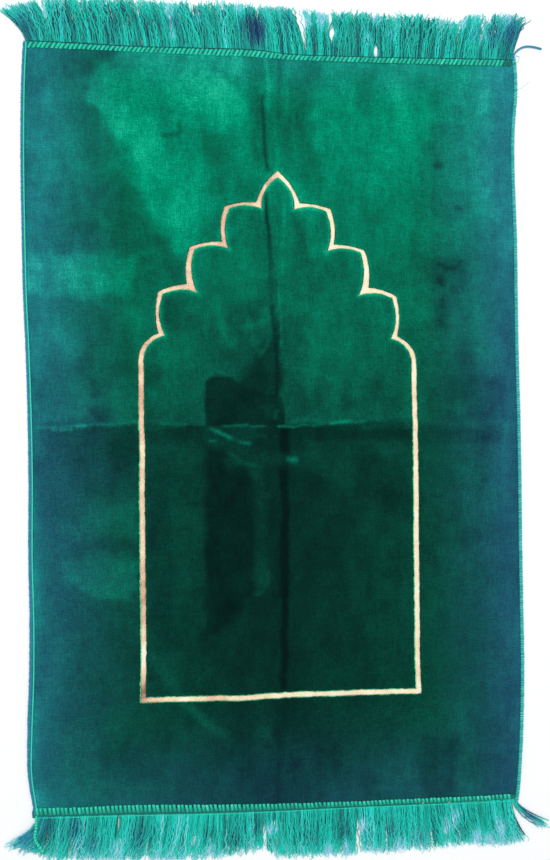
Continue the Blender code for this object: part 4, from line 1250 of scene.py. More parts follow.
velvet_finish, tree, shader, place = new_finish("velvet_pile", 0.85, sheen=0.08, gloss=0.01)
shader.inputs["Sheen Roughness"].default_value = SHEEN_ROUGHNESS
shader.inputs["Sheen Tint"].default_value = SHEEN_TINT
lean = 0.0
layers = []
for grain in GRAIN:
    layers.append(speckle(tree, place, grain.size, grain.detail, grain.stretch))
    lean = centred(tree, layers[-1], grain.amount, lean)
deepened = sums(tree, "MULTIPLY", fact(tree, "nap"), sums(tree, "ADD", 1.0, lean))
hue = sums(tree, "ADD", fact(tree, "cool"), centred(tree, layers[CLUMPS], HUE_CLUMPS), clamp=True)
colour = blended(tree, hue, ramp(tree, deepened, GREEN_NAP_SHADING), ramp(tree, deepened, BLUE_SHEEN_NAP_SHADING))
pile = sums(tree, "MULTIPLY_ADD", speckle(tree, place, 0.7), 0.8, layers[TUFTS])
coat(tree, shader, colour, pile, rise=0.5, strength=0.55)
print("velvet finish has", len(tree.nodes), "nodes")

# %% [markdown]
# The back has no pile. There the green warp and weft show as a fine plain weave: two sets of bands at
# right angles.

# %% The woven back
BACK_DYE = ((0, 14, 52, 48), (0.5, 30, 105, 92), (0.85, 60, 140, 120), (1, 170, 165, 130))
back_finish, tree, shader, place = new_finish("woven_back", 0.8, sheen=0.05)
warp, weft = waves(tree, place, "X", 330.0, 0.6), waves(tree, place, "Y", 300.0, 0.6)
weave = sums(tree, "MULTIPLY", warp, weft)
worn = sums(tree, "MULTIPLY_ADD", weave, 0.7, -0.15)
worn = sums(tree, "MULTIPLY_ADD", speckle(tree, place, 9.0), 0.5, worn)
coat(tree, shader, ramp(tree, worn, BACK_DYE), weave, rise=0.3, strength=0.6)

velvet_data.materials.append(velvet_finish)
velvet_data.materials.append(back_finish)
use = np.zeros(len(velvet_data.polygons), np.int32)
use[len(face_triangles):len(face_triangles) + len(back_triangles)] = 1
velvet_data.polygons.foreach_set("material_index", use)
print("faces of the back:", int(use.sum()))

# %% [markdown]
# ## The gold line
#
# Where the arch runs, the weaver left the pile out, so the flat ground shows: peach and cream threads in
# a twill. Painted on the velvet it would have no depth. It is a thin ribbon in the groove, with floating
# threads laid on it as little pills, and tufts of cut pile along both edges. This layout puts such pills
# in a row.

# %% Layout for things in a row
PILL_SEGMENTS, PILL_RINGS = 6, 4


def row_layout(name):
    inputs = {
        "Pitch": "Float", "Long": "Float", "Wide": "Float", "High": "Float", "Slant": "Float",
        "Unevenness": "Float", "Seed": "Int", "Finish": "Material",
    }
    tree, given, result = new_layout(name, inputs)
    curve = add_node(tree, "GeometryNodeMeshToCurve", {"Mesh": given["Geometry"]}).outputs[0]
    steps = {"Curve": curve, "Length": given["Pitch"]}
    evened = add_node(tree, "GeometryNodeResampleCurve", steps, mode="LENGTH").outputs[0]
    low = sums(tree, "SUBTRACT", 1.0, given["Unevenness"])
    high = sums(tree, "ADD", 1.0, given["Unevenness"])
    drawn = {2: low, 3: high, "Seed": given["Seed"]}
    chance = add_node(tree, "FunctionNodeRandomValue", drawn, data_type="FLOAT").outputs[1]
    toned = stored(tree, evened, "tone", sums(tree, "MULTIPLY", named(tree, "tone"), chance))
    ball = {"Segments": PILL_SEGMENTS, "Rings": PILL_RINGS, "Radius": 0.5}
    pill = add_node(tree, "GeometryNodeMeshUVSphere", ball).outputs[0]
    sides = {"X": given["Long"], "Y": given["Wide"], "Z": given["High"]}
    size = add_node(tree, "ShaderNodeCombineXYZ", sides).outputs[0]
    size = vectors(tree, "SCALE", {0: size, "Scale": chance})
    ahead = {"Vector": tree.nodes.new("GeometryNodeInputTangent").outputs[0]}
    ahead = add_node(tree, "FunctionNodeAlignRotationToVector", ahead, axis="X", pivot_axis="Z").outputs[0]
    slant = add_node(tree, "ShaderNodeCombineXYZ", {"Z": given["Slant"]}).outputs[0]
    turn = {0: ahead, 1: slant}
    turned = add_node(tree, "FunctionNodeRotateRotation", turn, rotation_space="LOCAL").outputs[0]
    laid = {"Points": toned, "Instance": pill, "Rotation": turned, "Scale": size}
    pills = add_node(tree, "GeometryNodeInstanceOnPoints", laid).outputs[0]
    end_layout(tree, pills, given["Finish"], result)
    return tree


things_in_a_row = row_layout("things_in_a_row")
print("row layout has", len(things_in_a_row.nodes), "nodes")

# %% [markdown]
# Gold threads are peach in shade and nearly white in full light, and that light and shade are painted
# into their tone. The dabs say where the line has painted highlights or painted shade.

# %% Gold finishes
GOLD_THREAD = (
    (0, 110, 88, 72), (0.2, 210, 162, 130), (0.33, 246, 198, 165), (0.45, 266, 223, 191),
    (0.65, 284, 266, 224), (1, 298, 298, 272),
)
RIM_DYE_AND_LIGHT = (
    (0, 20, 66, 50), (0.3, 16, 110, 80), (0.55, 30, 165, 112), (0.8, 60, 216, 150), (1, 110, 250, 180),
)
GOLD_HIGHLIGHT_AND_SHADE_DABS = table(
    "px py spread change",
    (142, 390, 50, -0.06), (143, 448, 16, 0.05), (142, 606, 24, -0.16), (142, 656, 18, 0.32),
    (143, 692, 9, -0.44), (183, 697, 16, 0.26), (232, 696, 34, 0.05), (276, 694, 12, 0.14),
    (415, 442, 14, -0.1), (272, 180, 8, -0.22), (262, 196, 8, -0.1), (138, 330, 12, -0.08),
    (284, 180, 9, 0.12),
)
TWILL_PITCH = 1.35
GOLD_WAVE, GOLD_WAVE_AMOUNT = 14.0, 0.10


# The gold's tone is painted light: brighter towards the right, with the dabs' highlights and shade and a
# random wave.
def painted_gold_light(points):
    x, y = points.T
    px, py = in_photo(x, y, np.full(len(x), GOLD_HEIGHT))
    tone = 0.50 + 0.20 * smooth((px - 250) / 60.0)
    for dab in GOLD_HIGHLIGHT_AND_SHADE_DABS:
        tone += dab.change * np.exp(-(((px - dab.px) ** 2 + (py - dab.py) ** 2) / dab.spread**2))
    return tone + GOLD_WAVE_AMOUNT * uneven(points, GOLD_WAVE, 3.3)


gold_finish, tree, shader, place = new_finish("gold_twill", 0.55, sheen=0.1, gloss=0.25)
down_the_line = sums(tree, "MULTIPLY", fact(tree, "along"), 2 * math.pi / (TWILL_PITCH * MM))
twill = sums(tree, "SINE", sums(tree, "MULTIPLY_ADD", fact(tree, "across"), 2.2, down_the_line))
worn = centred(tree, speckle(tree, place, 2.4, detail=3.0), 0.5)
shade = sums(tree, "MULTIPLY_ADD", twill, 0.08, worn)
shade = sums(tree, "ADD", fact(tree, "tone"), shade, clamp=True)
coat(tree, shader, ramp(tree, shade, GOLD_THREAD), twill, rise=0.1, strength=0.5)

rim_finish, tree, shader, place = new_finish("cut_pile_rim", 0.7, sheen=0.15, gloss=0.05)
worn = centred(tree, speckle(tree, place, 3.0), 0.5)
shade = sums(tree, "ADD", fact(tree, "tone"), worn, clamp=True)
coat(tree, shader, ramp(tree, shade, RIM_DYE_AND_LIGHT))
print("gold finishes made:", gold_finish.name, rim_finish.name)

# %% [markdown]
# The ribbon is four lines of points, two on top and two just under them, joined all the way round.

# %% Gold line
RIBBON_LIES = 0.35  # above the groove's floor
RIBBON_THICK = 0.1
RIBBON_GAP = 0.1

outer = floor_outer + inwards(outer_edge) * RIBBON_GAP
inner = floor_inner - inwards(inner_edge) * RIBBON_GAP
outer, inner = (np.concatenate([loop, loop[:1]]) for loop in (outer, inner))
middle = (outer + inner) / 2
steps = np.concatenate([[0.0], np.cumsum(np.linalg.norm(np.diff(middle, axis=0), axis=1))])
count = len(middle)
lines = []
for loop, drop in ((outer, 0.0), (inner, 0.0), (inner, RIBBON_THICK), (outer, RIBBON_THICK)):
    height = surface_height(*loop.T) - LINE_DEPTH + RIBBON_LIES - drop
    lines.append(np.column_stack([loop, height]))
faces = []
for k in range(count - 1):
    for a, b in ((0, 1), (1, 2), (2, 3), (3, 0)):
        faces.append((a * count + k, a * count + k + 1, b * count + k + 1, b * count + k))
gold_data = plain_mesh("gold_line", np.concatenate(lines) * MM, faces)
write_on(gold_data, "along", np.tile(steps * MM, 4))
write_on(gold_data, "across", np.repeat([-1.0, 1.0, 1.0, -1.0], count))
write_on(gold_data, "tone", np.tile(painted_gold_light(middle), 4))
gold_line = dressed(piece_of(gold_data, "gold_line", gold_finish, smooth_faces=False))
print("the gold line is", round(steps[-1]), "mm long")

# %% [markdown]
# Three rows of floats lie on the ribbon, and a row of tufts stands along each edge, brightest where it
# faces the light.

# %% The gold line's floats and rims
FLOAT_ROWS = table("share drop lift", (0.2, 0.62, -0.02), (0.5, 0.58, 0.06), (0.8, 0.62, 0.0))
Pill = namedtuple("Pill", "pitch long wide high slant unevenness seed")
FLOAT = Pill(1.35, 2.5, 0.85, 0.5, 0.6, 0.14, 5)
TUFT = Pill(1.5, 1.9, 1.7, 1.4, 0.0, 0.22, 8)
RIM_DROPS = (0.1, 0.15)
RIM_TONE, RIM_WAVE, RIM_WAVE_AMOUNT = 0.50, 12.0, 0.16
SIDE_LIGHT = 0.34  # of a rim that faces the light
UPPER_DULLER = 0.16


def pills_along(name, loops, drops, tones, pill, finish):
    """Pills along loops, lying this far under the pile."""
    routes = [np.column_stack([loop, surface_height(*loop.T) - drop]) for loop, drop in zip(loops, drops)]
    data = paths_of(name + "_rows", routes)
    write_on(data, "tone", np.concatenate(tones))
    values = {
        "Pitch": pill.pitch * MM, "Long": pill.long * MM, "Wide": pill.wide * MM, "High": pill.high * MM,
        "Slant": pill.slant, "Unevenness": pill.unevenness, "Seed": pill.seed, "Finish": finish,
    }
    return dressed(laid_out(name, data, things_in_a_row, values))


# The rims' tone paints light and shade: brighter on the side that faces the light and under the line's level
# runs; it is also duller in the upper part and varies at random.
def rim_row(loop, onto):
    to_line = inwards(loop) * onto
    length = np.linalg.norm(to_line, axis=1)
    side = -to_line[:, 0] / length
    lower = smooth((100.0 - loop[:, 1]) / 200.0)
    under = smooth(to_line[:, 1] / length * 2.0)
    tone = RIM_TONE - SIDE_LIGHT * side * lower + RIM_WAVE_AMOUNT * uneven(loop, RIM_WAVE, 6.1)
    tone = tone + (SIDE_LIGHT * under * (onto < 0) - UPPER_DULLER) * (1 - lower)
    row = loop + to_line * (0.25 - 0.25 * side * lower)[:, None]
    return np.concatenate([row, row[:1]]), np.append(tone, tone[0])


rows = [outer + (inner - outer) * row.share for row in FLOAT_ROWS]
tones = [painted_gold_light(loop) + row.lift for loop, row in zip(rows, FLOAT_ROWS)]
drops = column(FLOAT_ROWS, "drop")
gold_floats = pills_along("gold_floats", rows, drops, tones, FLOAT, gold_finish)
rows, tones = zip(rim_row(inner_edge, -1.0), rim_row(outer_edge, 1.0))
line_rims = pills_along("line_pile_rims", rows, RIM_DROPS, tones, TUFT, rim_finish)

# %% [markdown]
# ## Yarns and stitches
#
# Fringe yarns and stitches are all the same thing to Geometry Nodes: a path that becomes a round thread.
# The layout lets it waver, thins it towards its end and sweeps a small circle along it. Hair curves would
# look alike, but they are no mesh.

# %% Layout for threads
LOWEST_THREAD = 0.75  # mm, so that no yarn dips into the floor
NO_LIMIT = -9.0  # metres
DRIFT_WAYS = (2.0, 0.7, 0.25)  # least up and down


def wavering(tree, given, place, factor):
    """How far each point drifts: least at the root, most at the tip."""
    where = vectors(tree, "DIVIDE", {0: place, 1: given["Waver size"]})
    own = sums(tree, "MULTIPLY", named(tree, "number"), 3.71)
    cloud = {"Vector": where, "W": own, "Scale": 1.0, "Detail": 1.0}
    drift = add_node(tree, "ShaderNodeTexNoise", cloud, noise_dimensions="4D").outputs["Color"]
    drift = vectors(tree, "SUBTRACT", {0: drift, 1: (0.5, 0.5, 0.5)})
    drift = vectors(tree, "MULTIPLY", {0: drift, 1: DRIFT_WAYS})
    swing = sums(tree, "MULTIPLY", sums(tree, "POWER", factor, 0.6), given["Waver"])
    grown = sums(tree, "MULTIPLY_ADD", sums(tree, "POWER", factor, 4.0), given["Curl"], swing)
    return vectors(tree, "SCALE", {0: drift, "Scale": grown})


def thread_layout(name):
    """Round threads along paths that carry tone, thick and number."""
    inputs = {
        "Steps": "Int", "Sides": "Int", "Waver": "Float", "Waver size": "Float", "Curl": "Float",
        "Thinning": "Float", "Finish": "Material",
    }
    tree, given, result = new_layout(name, inputs)
    curve = add_node(tree, "GeometryNodeMeshToCurve", {"Mesh": given["Geometry"]}).outputs[0]
    steps = {"Curve": curve, "Count": given["Steps"]}
    evened = add_node(tree, "GeometryNodeResampleCurve", steps, mode="COUNT").outputs[0]
    spline = tree.nodes.new("GeometryNodeSplineParameter").outputs
    factor, length = spline["Factor"], spline["Length"]
    place = tree.nodes.new("GeometryNodeInputPosition").outputs[0]
    moved = {"Geometry": evened, "Offset": wavering(tree, given, place, factor)}
    wavy = add_node(tree, "GeometryNodeSetPosition", moved).outputs[0]
    off_floor = vectors(tree, "MAXIMUM", {0: place, 1: (NO_LIMIT, NO_LIMIT, LOWEST_THREAD * MM)})
    wavy = add_node(tree, "GeometryNodeSetPosition", {"Geometry": wavy, "Position": off_floor}).outputs[0]
    told = stored(tree, wavy, "along", length)
    slimmer = sums(tree, "MULTIPLY", sums(tree, "POWER", factor, 3.0), given["Thinning"])
    half = sums(tree, "SUBTRACT", 0.5, sums(tree, "MULTIPLY", slimmer, 0.5))
    radius = sums(tree, "MULTIPLY", named(tree, "thick"), half)
    ring = {"Resolution": given["Sides"], "Radius": 1.0}
    circle = add_node(tree, "GeometryNodeCurvePrimitiveCircle", ring).outputs[0]
    swept = {"Curve": told, "Profile Curve": circle, "Scale": radius, "Fill Caps": True}
    tubes = add_node(tree, "GeometryNodeCurveToMesh", swept).outputs[0]
    end_layout(tree, tubes, given["Finish"], result)
    return tree


threads = thread_layout("round_threads")
print("thread layout has", len(threads.nodes), "nodes")

# %% [markdown]
# One helper lays every kind of thread. Only its routes, thickness, tone and waver differ.

# %% Threads along routes
def threaded(
    name, routes, tones, thick, finish, steps, sides=5, waver=0.0, waver_size=12.0, curl=0.0,
    thinning=0.0, cools=None,
):
    facts = {"tone": tones, "thick": [t * MM for t in thick], "number": range(len(routes))}
    if cools:
        facts["cool"] = cools
    values = {
        "Steps": steps, "Sides": sides, "Waver": waver * MM, "Waver size": waver_size * MM,
        "Curl": curl * MM, "Thinning": thinning, "Finish": finish,
    }
    return laid_out(name, paths_of(name, routes, facts), threads, values)


print("threads can be laid")

# %% [markdown]
# ## The fringe
#
# Each end's warp yarns hang free for six centimetres. They were tangled in the fold, so they lie in
# locks, the same as the solids', with gaps that show the floor or the yarns beneath, which are toned
# dark as painted shade. They could be combed by hand, but it is shorter to say where each lock's roots
# and tips lie.

# %% Locks of the fringe
ARCH_LOCKS = table(
    "root_from root_to tip_from tip_to reach_from reach_to",
    (-347, -316, -381, -330, 45, 56), (-316, -254, -321, -267, 59, 61), (-254, -187, -265, -198, 61, 64),
    (-187, -145, -194, -158, 62, 62), (-145, -108, -150, -124, 59, 62), (-108, -63, -117, -69, 59, 64),
    (-63, -20, -66, -30, 61, 63), (-20, 43, -25, 22, 63, 66), (43, 77, 40, 70, 66, 58),
    (77, 141, 81, 137, 61, 64), (141, 179, 142, 177, 59, 60), (179, 259, 181, 264, 64, 52),
    (259, 297, 271, 295, 61, 63), (297, 309, 302, 310, 50, 56), (309, 343, 315, 364, 65, 63),
)
FOOT_LOCKS = table(
    "root_from root_to tip_from tip_to reach_from reach_to",
    (-341, -323, -380, -341, 39, 51), (-323, -291, -335, -300, 54, 59), (-291, -230, -297, -238, 59, 61),
    (-230, -186, -233, -193, 60, 62), (-186, -120, -189, -132, 62, 62), (-120, -98, -127, -105, 62, 62),
    (-98, -23, -101, -25, 63, 50), (-23, -7, -19, -9, 52, 58), (-7, 112, -4, 106, 64, 66),
    (112, 153, 125, 154, 61, 65), (153, 219, 157, 218, 64, 64), (219, 241, 222, 241, 61, 61),
    (241, 279, 248, 284, 60, 60), (279, 309, 289, 309, 64, 61), (309, 340, 314, 361, 64, 60),
    (340, 347, 388, 395, 42, 40),
)
ARCH_LEANS = table(
    "x lean",
    (-335, 0), (-300, -6), (-150, -8), (0, 0), (66, 2), (78, 6), (84, -5), (100, 0), (170, 0), (215, 9),
    (290, 9), (330, 0),
)
FOOT_LEANS = table(
    "x lean",
    (-335, 0), (-300, -8), (-200, -11), (-60, 0), (60, 0), (108, 7), (116, -8), (150, 0), (180, 0),
    (235, 14), (300, 14), (335, 0),
)
print("locks at the two ends:", len(ARCH_LOCKS), len(FOOT_LOCKS))

# %% [markdown]
# A gap runs from one row of the photo to another, this many millimetres wide to each side. The widest go
# through all the yarns, the others only through the upper ones.

# %% Gaps in the fringe
ARCH_GAPS = table(
    "px py_from py_to half_wide through_all",
    (45, -6, 32, 1.1, True), (142, 35, 47, 1.5, True), (167, -6, 44, 1, True), (198, 15, 28, 1.6, True),
    (257, 12, 47, 3.6, False), (298, -6, 40, 3.6, True), (332, 22, 42, 4.2, True), (376, 43, 58, 4, True),
    (458, -6, 33, 2.2, True), (481, -6, 31, 1.4, True), (96, -4, 22, 1.4, False), (224, -2, 24, 1.6, False),
    (350, -4, 20, 1.6, False), (404, -4, 26, 1.8, False), (432, 8, 40, 1.6, False),
)
FOOT_GAPS = table(
    "px py_from py_to half_wide through_all",
    (118, 813, 836, 2.4, True), (196, 824, 848, 1.8, True), (210, 836, 862, 1.7, True),
    (265, 820, 856, 2.4, True), (275, 818, 834, 1.7, True), (361, 812, 850, 1.6, True),
    (445, 815, 833, 1.8, True), (472, 824, 843, 1.8, True), (489, 831, 856, 1.8, True),
    (84, 830, 862, 1.4, False), (150, 828, 862, 1.6, False), (238, 830, 862, 1.4, False),
    (318, 826, 862, 1.8, False), (400, 826, 862, 1.6, False), (426, 822, 855, 1.6, False),
)


def parted(route, gaps, under):
    route = route.copy()
    for x_gap, y_from, y_to, half, through_all in gaps:
        if under and not through_all:
            continue
        t = np.clip((route[:, 1] - y_from) / (y_to - y_from), 0.0, 1.0)
        reach = half * np.sqrt(np.maximum(0.0, 4 * t * (1 - t)))
        aside = route[np.abs(t - 0.5).argmin(), 0] - x_gap
        route[:, 0] += math.copysign(1.0, aside) * (np.sqrt(aside**2 + reach**2) - abs(aside))
    return route


print("gaps at the two ends:", len(ARCH_GAPS), len(FOOT_GAPS))

# %% [markdown]
# Here and there the yarns are darker with painted shadow between the locks, or paler with painted
# highlights where light shines through the gaps. Each row says where, how far that spreads, how the
# tone changes and how blue it gets.

# %% Painted shadows and highlights of the fringe
ARCH_SHADOWS_AND_HIGHLIGHTS = table(
    "px py spread change cool",
    (257, 30, 10, -0.42, 1), (247, 20, 8, -0.22, 0.5), (287, 20, 8, -0.2, 0.4), (60, 20, 9, -0.12, 0.3),
    (118, 14, 9, -0.16, 0), (112, 28, 8, -0.14, 0.2), (148, 24, 8, -0.2, 0.1), (172, 20, 7, -0.15, 0.6),
    (199, 12, 8, -0.15, 0.3), (372, 30, 10, -0.2, 0.1), (418, 28, 9, -0.06, 0), (494, 34, 10, -0.16, 0.7),
    (512, 30, 13, -0.08, 0.9), (476, 34, 6, -0.1, 0.6), (22, 24, 13, -0.14, 0.5), (28, 36, 12, -0.2, 0.3),
    (44, 12, 5, 0.5, 0.41), (48, 26, 4, 0.3, 0.32), (133, 34, 5, 0.25, 0.18), (170, 10, 5, 0.4, 0.36),
    (172, 34, 4, 0.4, 0.23), (198, 20, 4, 0.4, 0.36), (238, 10, 6, 0.35, 0.27), (306, 22, 5, 0.55, 0.41),
    (322, 20, 6, 0.45, 0.36), (334, 34, 5, 0.4, 0.23), (369, 38, 5, 0.4, 0.27), (376, 20, 5, 0.4, 0.41),
    (392, 34, 6, 0.2, 0.27), (443, 20, 5, 0.3, 0.27), (464, 24, 5, 0.45, 0.41), (482, 38, 6, 0.35, 0.36),
    (510, 16, 6, 0.3, 0.41), (85, 32, 10, 0.06, 0), (222, 44, 12, 0.06, 0), (440, 46, 14, 0.06, 0),
)
FOOT_SHADOWS_AND_HIGHLIGHTS = table(
    "px py spread change cool",
    (24, 834, 15, -0.16, 1), (44, 826, 14, -0.16, 0.5), (74, 832, 12, -0.12, 0.5), (92, 846, 10, -0.05, 0.5),
    (138, 838, 10, -0.15, 0.4), (156, 834, 7, -0.16, 0.1), (208, 836, 7, -0.15, 0.2),
    (236, 842, 9, -0.15, 0.2), (258, 826, 8, -0.12, 0.2), (310, 836, 7, -0.15, 0.3),
    (346, 832, 7, -0.2, 0.3), (392, 830, 8, -0.18, 0.3), (422, 840, 8, -0.06, 0.4),
    (466, 828, 9, -0.15, 0.1), (530, 818, 10, -0.16, 1), (116, 846, 5, 0.4, 0.27), (75, 842, 5, 0.35, 0.27),
    (196, 838, 4, 0.3, 0.18), (211, 848, 5, 0.35, 0.36), (274, 828, 4, 0.55, 0.36), (267, 830, 4, 0.5, 0.36),
    (330, 850, 5, 0.45, 0.32), (346, 846, 6, 0.4, 0.45), (362, 826, 5, 0.6, 0.36), (402, 846, 6, 0.4, 0.36),
    (446, 826, 5, 0.45, 0.45), (457, 816, 6, 0.4, 0.41), (477, 836, 6, 0.4, 0.45), (490, 840, 5, 0.45, 0.36),
    (502, 826, 7, 0.3, 0.41), (176, 826, 12, 0.05, 0), (290, 824, 12, 0.05, 0), (412, 822, 12, 0.05, 0),
)
# how far a painted shadow or highlight spreads; PALER is the share of a painted highlight that counts
SHADE_SPREAD = 0.85
PALER = 0.85  # the share of a paling that counts
LONG_SHADES = 0.6  # along the yarns
ROOT_DARKENING, TIP_HIGHLIGHT, EVERYWHERE = 0.06, 0.30, 0.05


# Tips get a painted highlight and roots are darker. Each row of the table adds a painted shadow or a painted
# highlight, with its blue tint.
def along_yarn(route, base, shades):
    t = np.linspace(0.0, 1.0, len(route))
    px, py = in_photo(*route.T)
    tone = base - ROOT_DARKENING * (1 - t) ** 3 + TIP_HIGHLIGHT * t**5 + EVERYWHERE
    cool = np.zeros(len(route))
    for shade in shades:
        far = (px - shade.px) ** 2 + (LONG_SHADES * (py - shade.py)) ** 2
        share = np.exp(-(far / (SHADE_SPREAD * shade.spread) ** 2))
        tone = tone + min(shade.change, PALER * shade.change) * share
        cool = np.maximum(cool, shade.cool * share)
    return np.clip(tone, 0.0, 1.0), cool


print("shades at the two ends:", len(ARCH_SHADOWS_AND_HIGHLIGHTS), len(FOOT_SHADOWS_AND_HIGHLIGHTS))

# %% [markdown]
# The under layer is thick, dark and straight; its dark tone is painted shade beneath the upper yarns.
# The upper one is thin and lively: its yarns bunch together, stray and cross, and its lower layers are
# toned darker, also as painted shade. The random numbers have a fixed seed, so every run gives the same
# fringe.

# %% How each yarn lies
YarnKind = namedtuple("YarnKind", "count spread thinnest thickest")
UNDER_YARNS = YarnKind(560, 1.6, 1.9, 2.3)
UPPER_YARNS = YarnKind(1000, 2.6, 1.05, 1.5)
YARN_LAYERS = 4
YARN_POINTS = 9
YARNS_A_BUNCH = 7
ROOT_HIDDEN = 2.5  # how far a yarn starts inside the heading
STRAY_SHARE, STRAY_TIMES = 0.45, 2.6
SHORT_SHARE, SHORTEST, LONGEST = 0.12, 0.84, 0.98
LAYER_RISE = 0.95
LIES_AT = 1.3
FOOT_TONE, ARCH_TONE = 0.075, -0.03


def width_of(lock):
    return max(lock.root_to - lock.root_from, lock.tip_to - lock.tip_from)


def between(low, high, share):
    return low + (high - low) * share


# Under yarns and the lower layers of the upper yarns get a darker base tone: painted shade beneath the yarns
# above them.
def yarns(one, under, seed):
    """Routes, tones, thicknesses and painted blue tint of one layer of an end's yarns."""
    chance = random.Random(seed)
    kind = UNDER_YARNS if under else UPPER_YARNS
    gaps = [
        (*on_rug(g.px, g.py_from), on_rug(g.px, g.py_to)[1], g.half_wide, g.through_all)
        for g in one.gaps
    ]
    whole = sum(width_of(lock) for lock in one.locks)
    routes, tones, cools, thick = [], [], [], []
    for lock in one.locks:
        count = round(kind.count * width_of(lock) / whole)
        bunches = max(2, round(count / YARNS_A_BUNCH))
        pulls = [chance.uniform(-0.35, 0.35) / bunches for _ in range(bunches)]
        bunch_tones = [chance.gauss(0.0, 0.09) for _ in range(bunches)]
        lock_tone = chance.gauss(0.0, 0.03)
        for k in range(count):
            share = (k + chance.uniform(0.2, 0.8)) / count
            own = min(bunches - 1, int(share * bunches))
            middle = (own + 0.5) / bunches + pulls[own]
            pull = 0.0 if under else chance.uniform(0.0, 0.4)
            stray = STRAY_TIMES if not under and chance.random() < STRAY_SHARE else 1.0
            astray = chance.gauss(0.0, stray * kind.spread) / width_of(lock)
            tip_share = share + (middle - share) * pull + astray
            layer = 0 if under else chance.randrange(1, YARN_LAYERS)
            root_x = between(lock.root_from, lock.root_to, share)
            tip_x = between(lock.tip_from, lock.tip_to, tip_share)
            reach = between(lock.reach_from, lock.reach_to, share) + chance.gauss(0.0, 2.4)
            if under or chance.random() < SHORT_SHARE:
                reach *= chance.uniform(SHORTEST, LONGEST)
            t = np.linspace(0.0, 1.0, YARN_POINTS)
            if not under:
                lean = np.interp(root_x, column(one.leans, "x"), column(one.leans, "lean"))
                tip_x += lean * chance.uniform(0.0, 1.6)
            x = root_x + (tip_x - root_x) * (0.35 * t + 0.65 * t * t)
            start = float(through(one.rows, "edge", root_x)) - ROOT_HIDDEN
            y = one.end * (start + (reach + ROOT_HIDDEN) * t)
            wave = 0.5 * np.sin(t * chance.uniform(3, 7) + k)
            lift = 0.75 + layer * LAYER_RISE * (1 - 0.45 * t) + wave
            z = np.full(len(t), 1.2 + 0.3 * (k % 2)) if under else np.maximum(LIES_AT, lift)
            z[0] = LIES_AT + 0.25 * layer
            route = parted(np.stack([x, y, z], -1), gaps, under)
            if under:
                base = 0.18 + chance.gauss(0.0, 0.06)
            else:
                base = min(0.6, 0.26 + 0.09 * layer + chance.gauss(0.0, 0.09))
            base += FOOT_TONE if one.end < 0 else ARCH_TONE
            tone, cool = along_yarn(route, base + bunch_tones[own] + lock_tone, one.shades)
            routes.append(route)
            tones.append(tone)
            cools.append(cool)
            thick.append(chance.uniform(kind.thinnest, kind.thickest))
    return routes, tones, thick, cools


print("yarns at each end:", UNDER_YARNS.count, "under", UPPER_YARNS.count)

# %% [markdown]
# Both ends and both layers are made from the same words. They differ in how they waver.

# %% Fringe yarns
FRINGE_ENDS = table(
    "name node locks rows end gaps shades leans seed",
    ("arch", "fringe_top", ARCH_LOCKS, ARCH_END, 1, ARCH_GAPS, ARCH_SHADOWS_AND_HIGHLIGHTS, ARCH_LEANS, 11),
    ("foot", "fringe_bottom", FOOT_LOCKS, FOOT_END, -1, FOOT_GAPS, FOOT_SHADOWS_AND_HIGHLIGHTS, FOOT_LEANS, 23),
)
UNDER_LOOK = {"steps": 8, "sides": 4, "waver": 1.4, "waver_size": 14.0, "curl": 3.0, "thinning": 0.2}
UPPER_LOOK = {"steps": 17, "sides": 4, "waver": 8.5, "waver_size": 8.0, "curl": 4.0, "thinning": 0.4}
for one in FRINGE_ENDS:
    for under, look in ((True, UNDER_LOOK), (False, UPPER_LOOK)):
        *laid, cools = yarns(one, under, one.seed + under)
        layer_name = one.name + ("_fringe_under" if under else "_fringe_yarns")
        piece = dressed(threaded(layer_name, *laid, fringe_finish, cools=cools, **look))
        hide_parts(one.node)

# %% [markdown]
# ## The headings
#
# Between velvet and fringe runs a narrow woven strip. At the arch end it carries slanting satin stitches
# and a thin line of painted shadow between stitches and fringe, made as a dark thread. At the foot end
# the stitches are short, like beads, with a bright twisted thread outside them. The strip is a cross
# section swept along the rug's uneven end, which a plain box wouldn't follow.

# %% Heading weave
ARCH_STRIP = table(
    "share height",
    (0, 0), (0, 2.5), (0.12, 2.9), (0.45, 2.9), (0.75, 2.4), (0.95, 1.6), (1, 0.9), (1, 0),
)
FOOT_STRIP = table(
    "share height",
    (0, 0), (0, 2.5), (0.12, 3), (0.42, 2.9), (0.6, 2.2), (0.95, 1.8), (1, 1), (1, 0),
)
STRIP_DYE = ((0, 8, 84, 84), (0.5, 14, 130, 122), (1, 22, 176, 156))
strip_finish, tree, shader, place = new_finish("heading_weave", 0.75, sheen=0.1)
ribs, picks = waves(tree, place, "Y", 260.0, 1.2), waves(tree, place, "X", 210.0, 1.0)
weave = sums(tree, "MULTIPLY_ADD", ribs, 0.5, sums(tree, "MULTIPLY", picks, 0.5))
shade = sums(tree, "MULTIPLY_ADD", weave, 0.5, -0.05)
shade = sums(tree, "MULTIPLY_ADD", speckle(tree, place, 5.0), 0.5, shade)
coat(tree, shader, ramp(tree, shade, STRIP_DYE), weave, rise=0.3, strength=0.7)
print("heading weave has", len(tree.nodes), "nodes")

# %% [markdown]
# Headings and bound sides are swept alike: one line of points for each corner of the section, joined
# round and capped.

# %% Heading strips
STRIP_STEP = 3.0
STRIP_HALF_LONG = 349.0


def band_faces(count, corners, turned):
    """The faces of a closed band of lines of points, capped."""
    faces = []
    for k in range(count - 1):
        for a in range(corners):
            b = (a + 1) % corners
            faces.append((a * count + k, b * count + k, b * count + k + 1, a * count + k + 1))
    faces.append(tuple(a * count for a in reversed(range(corners))))
    faces.append(tuple(a * count + count - 1 for a in range(corners)))
    return [face[::-1] for face in faces] if turned else faces


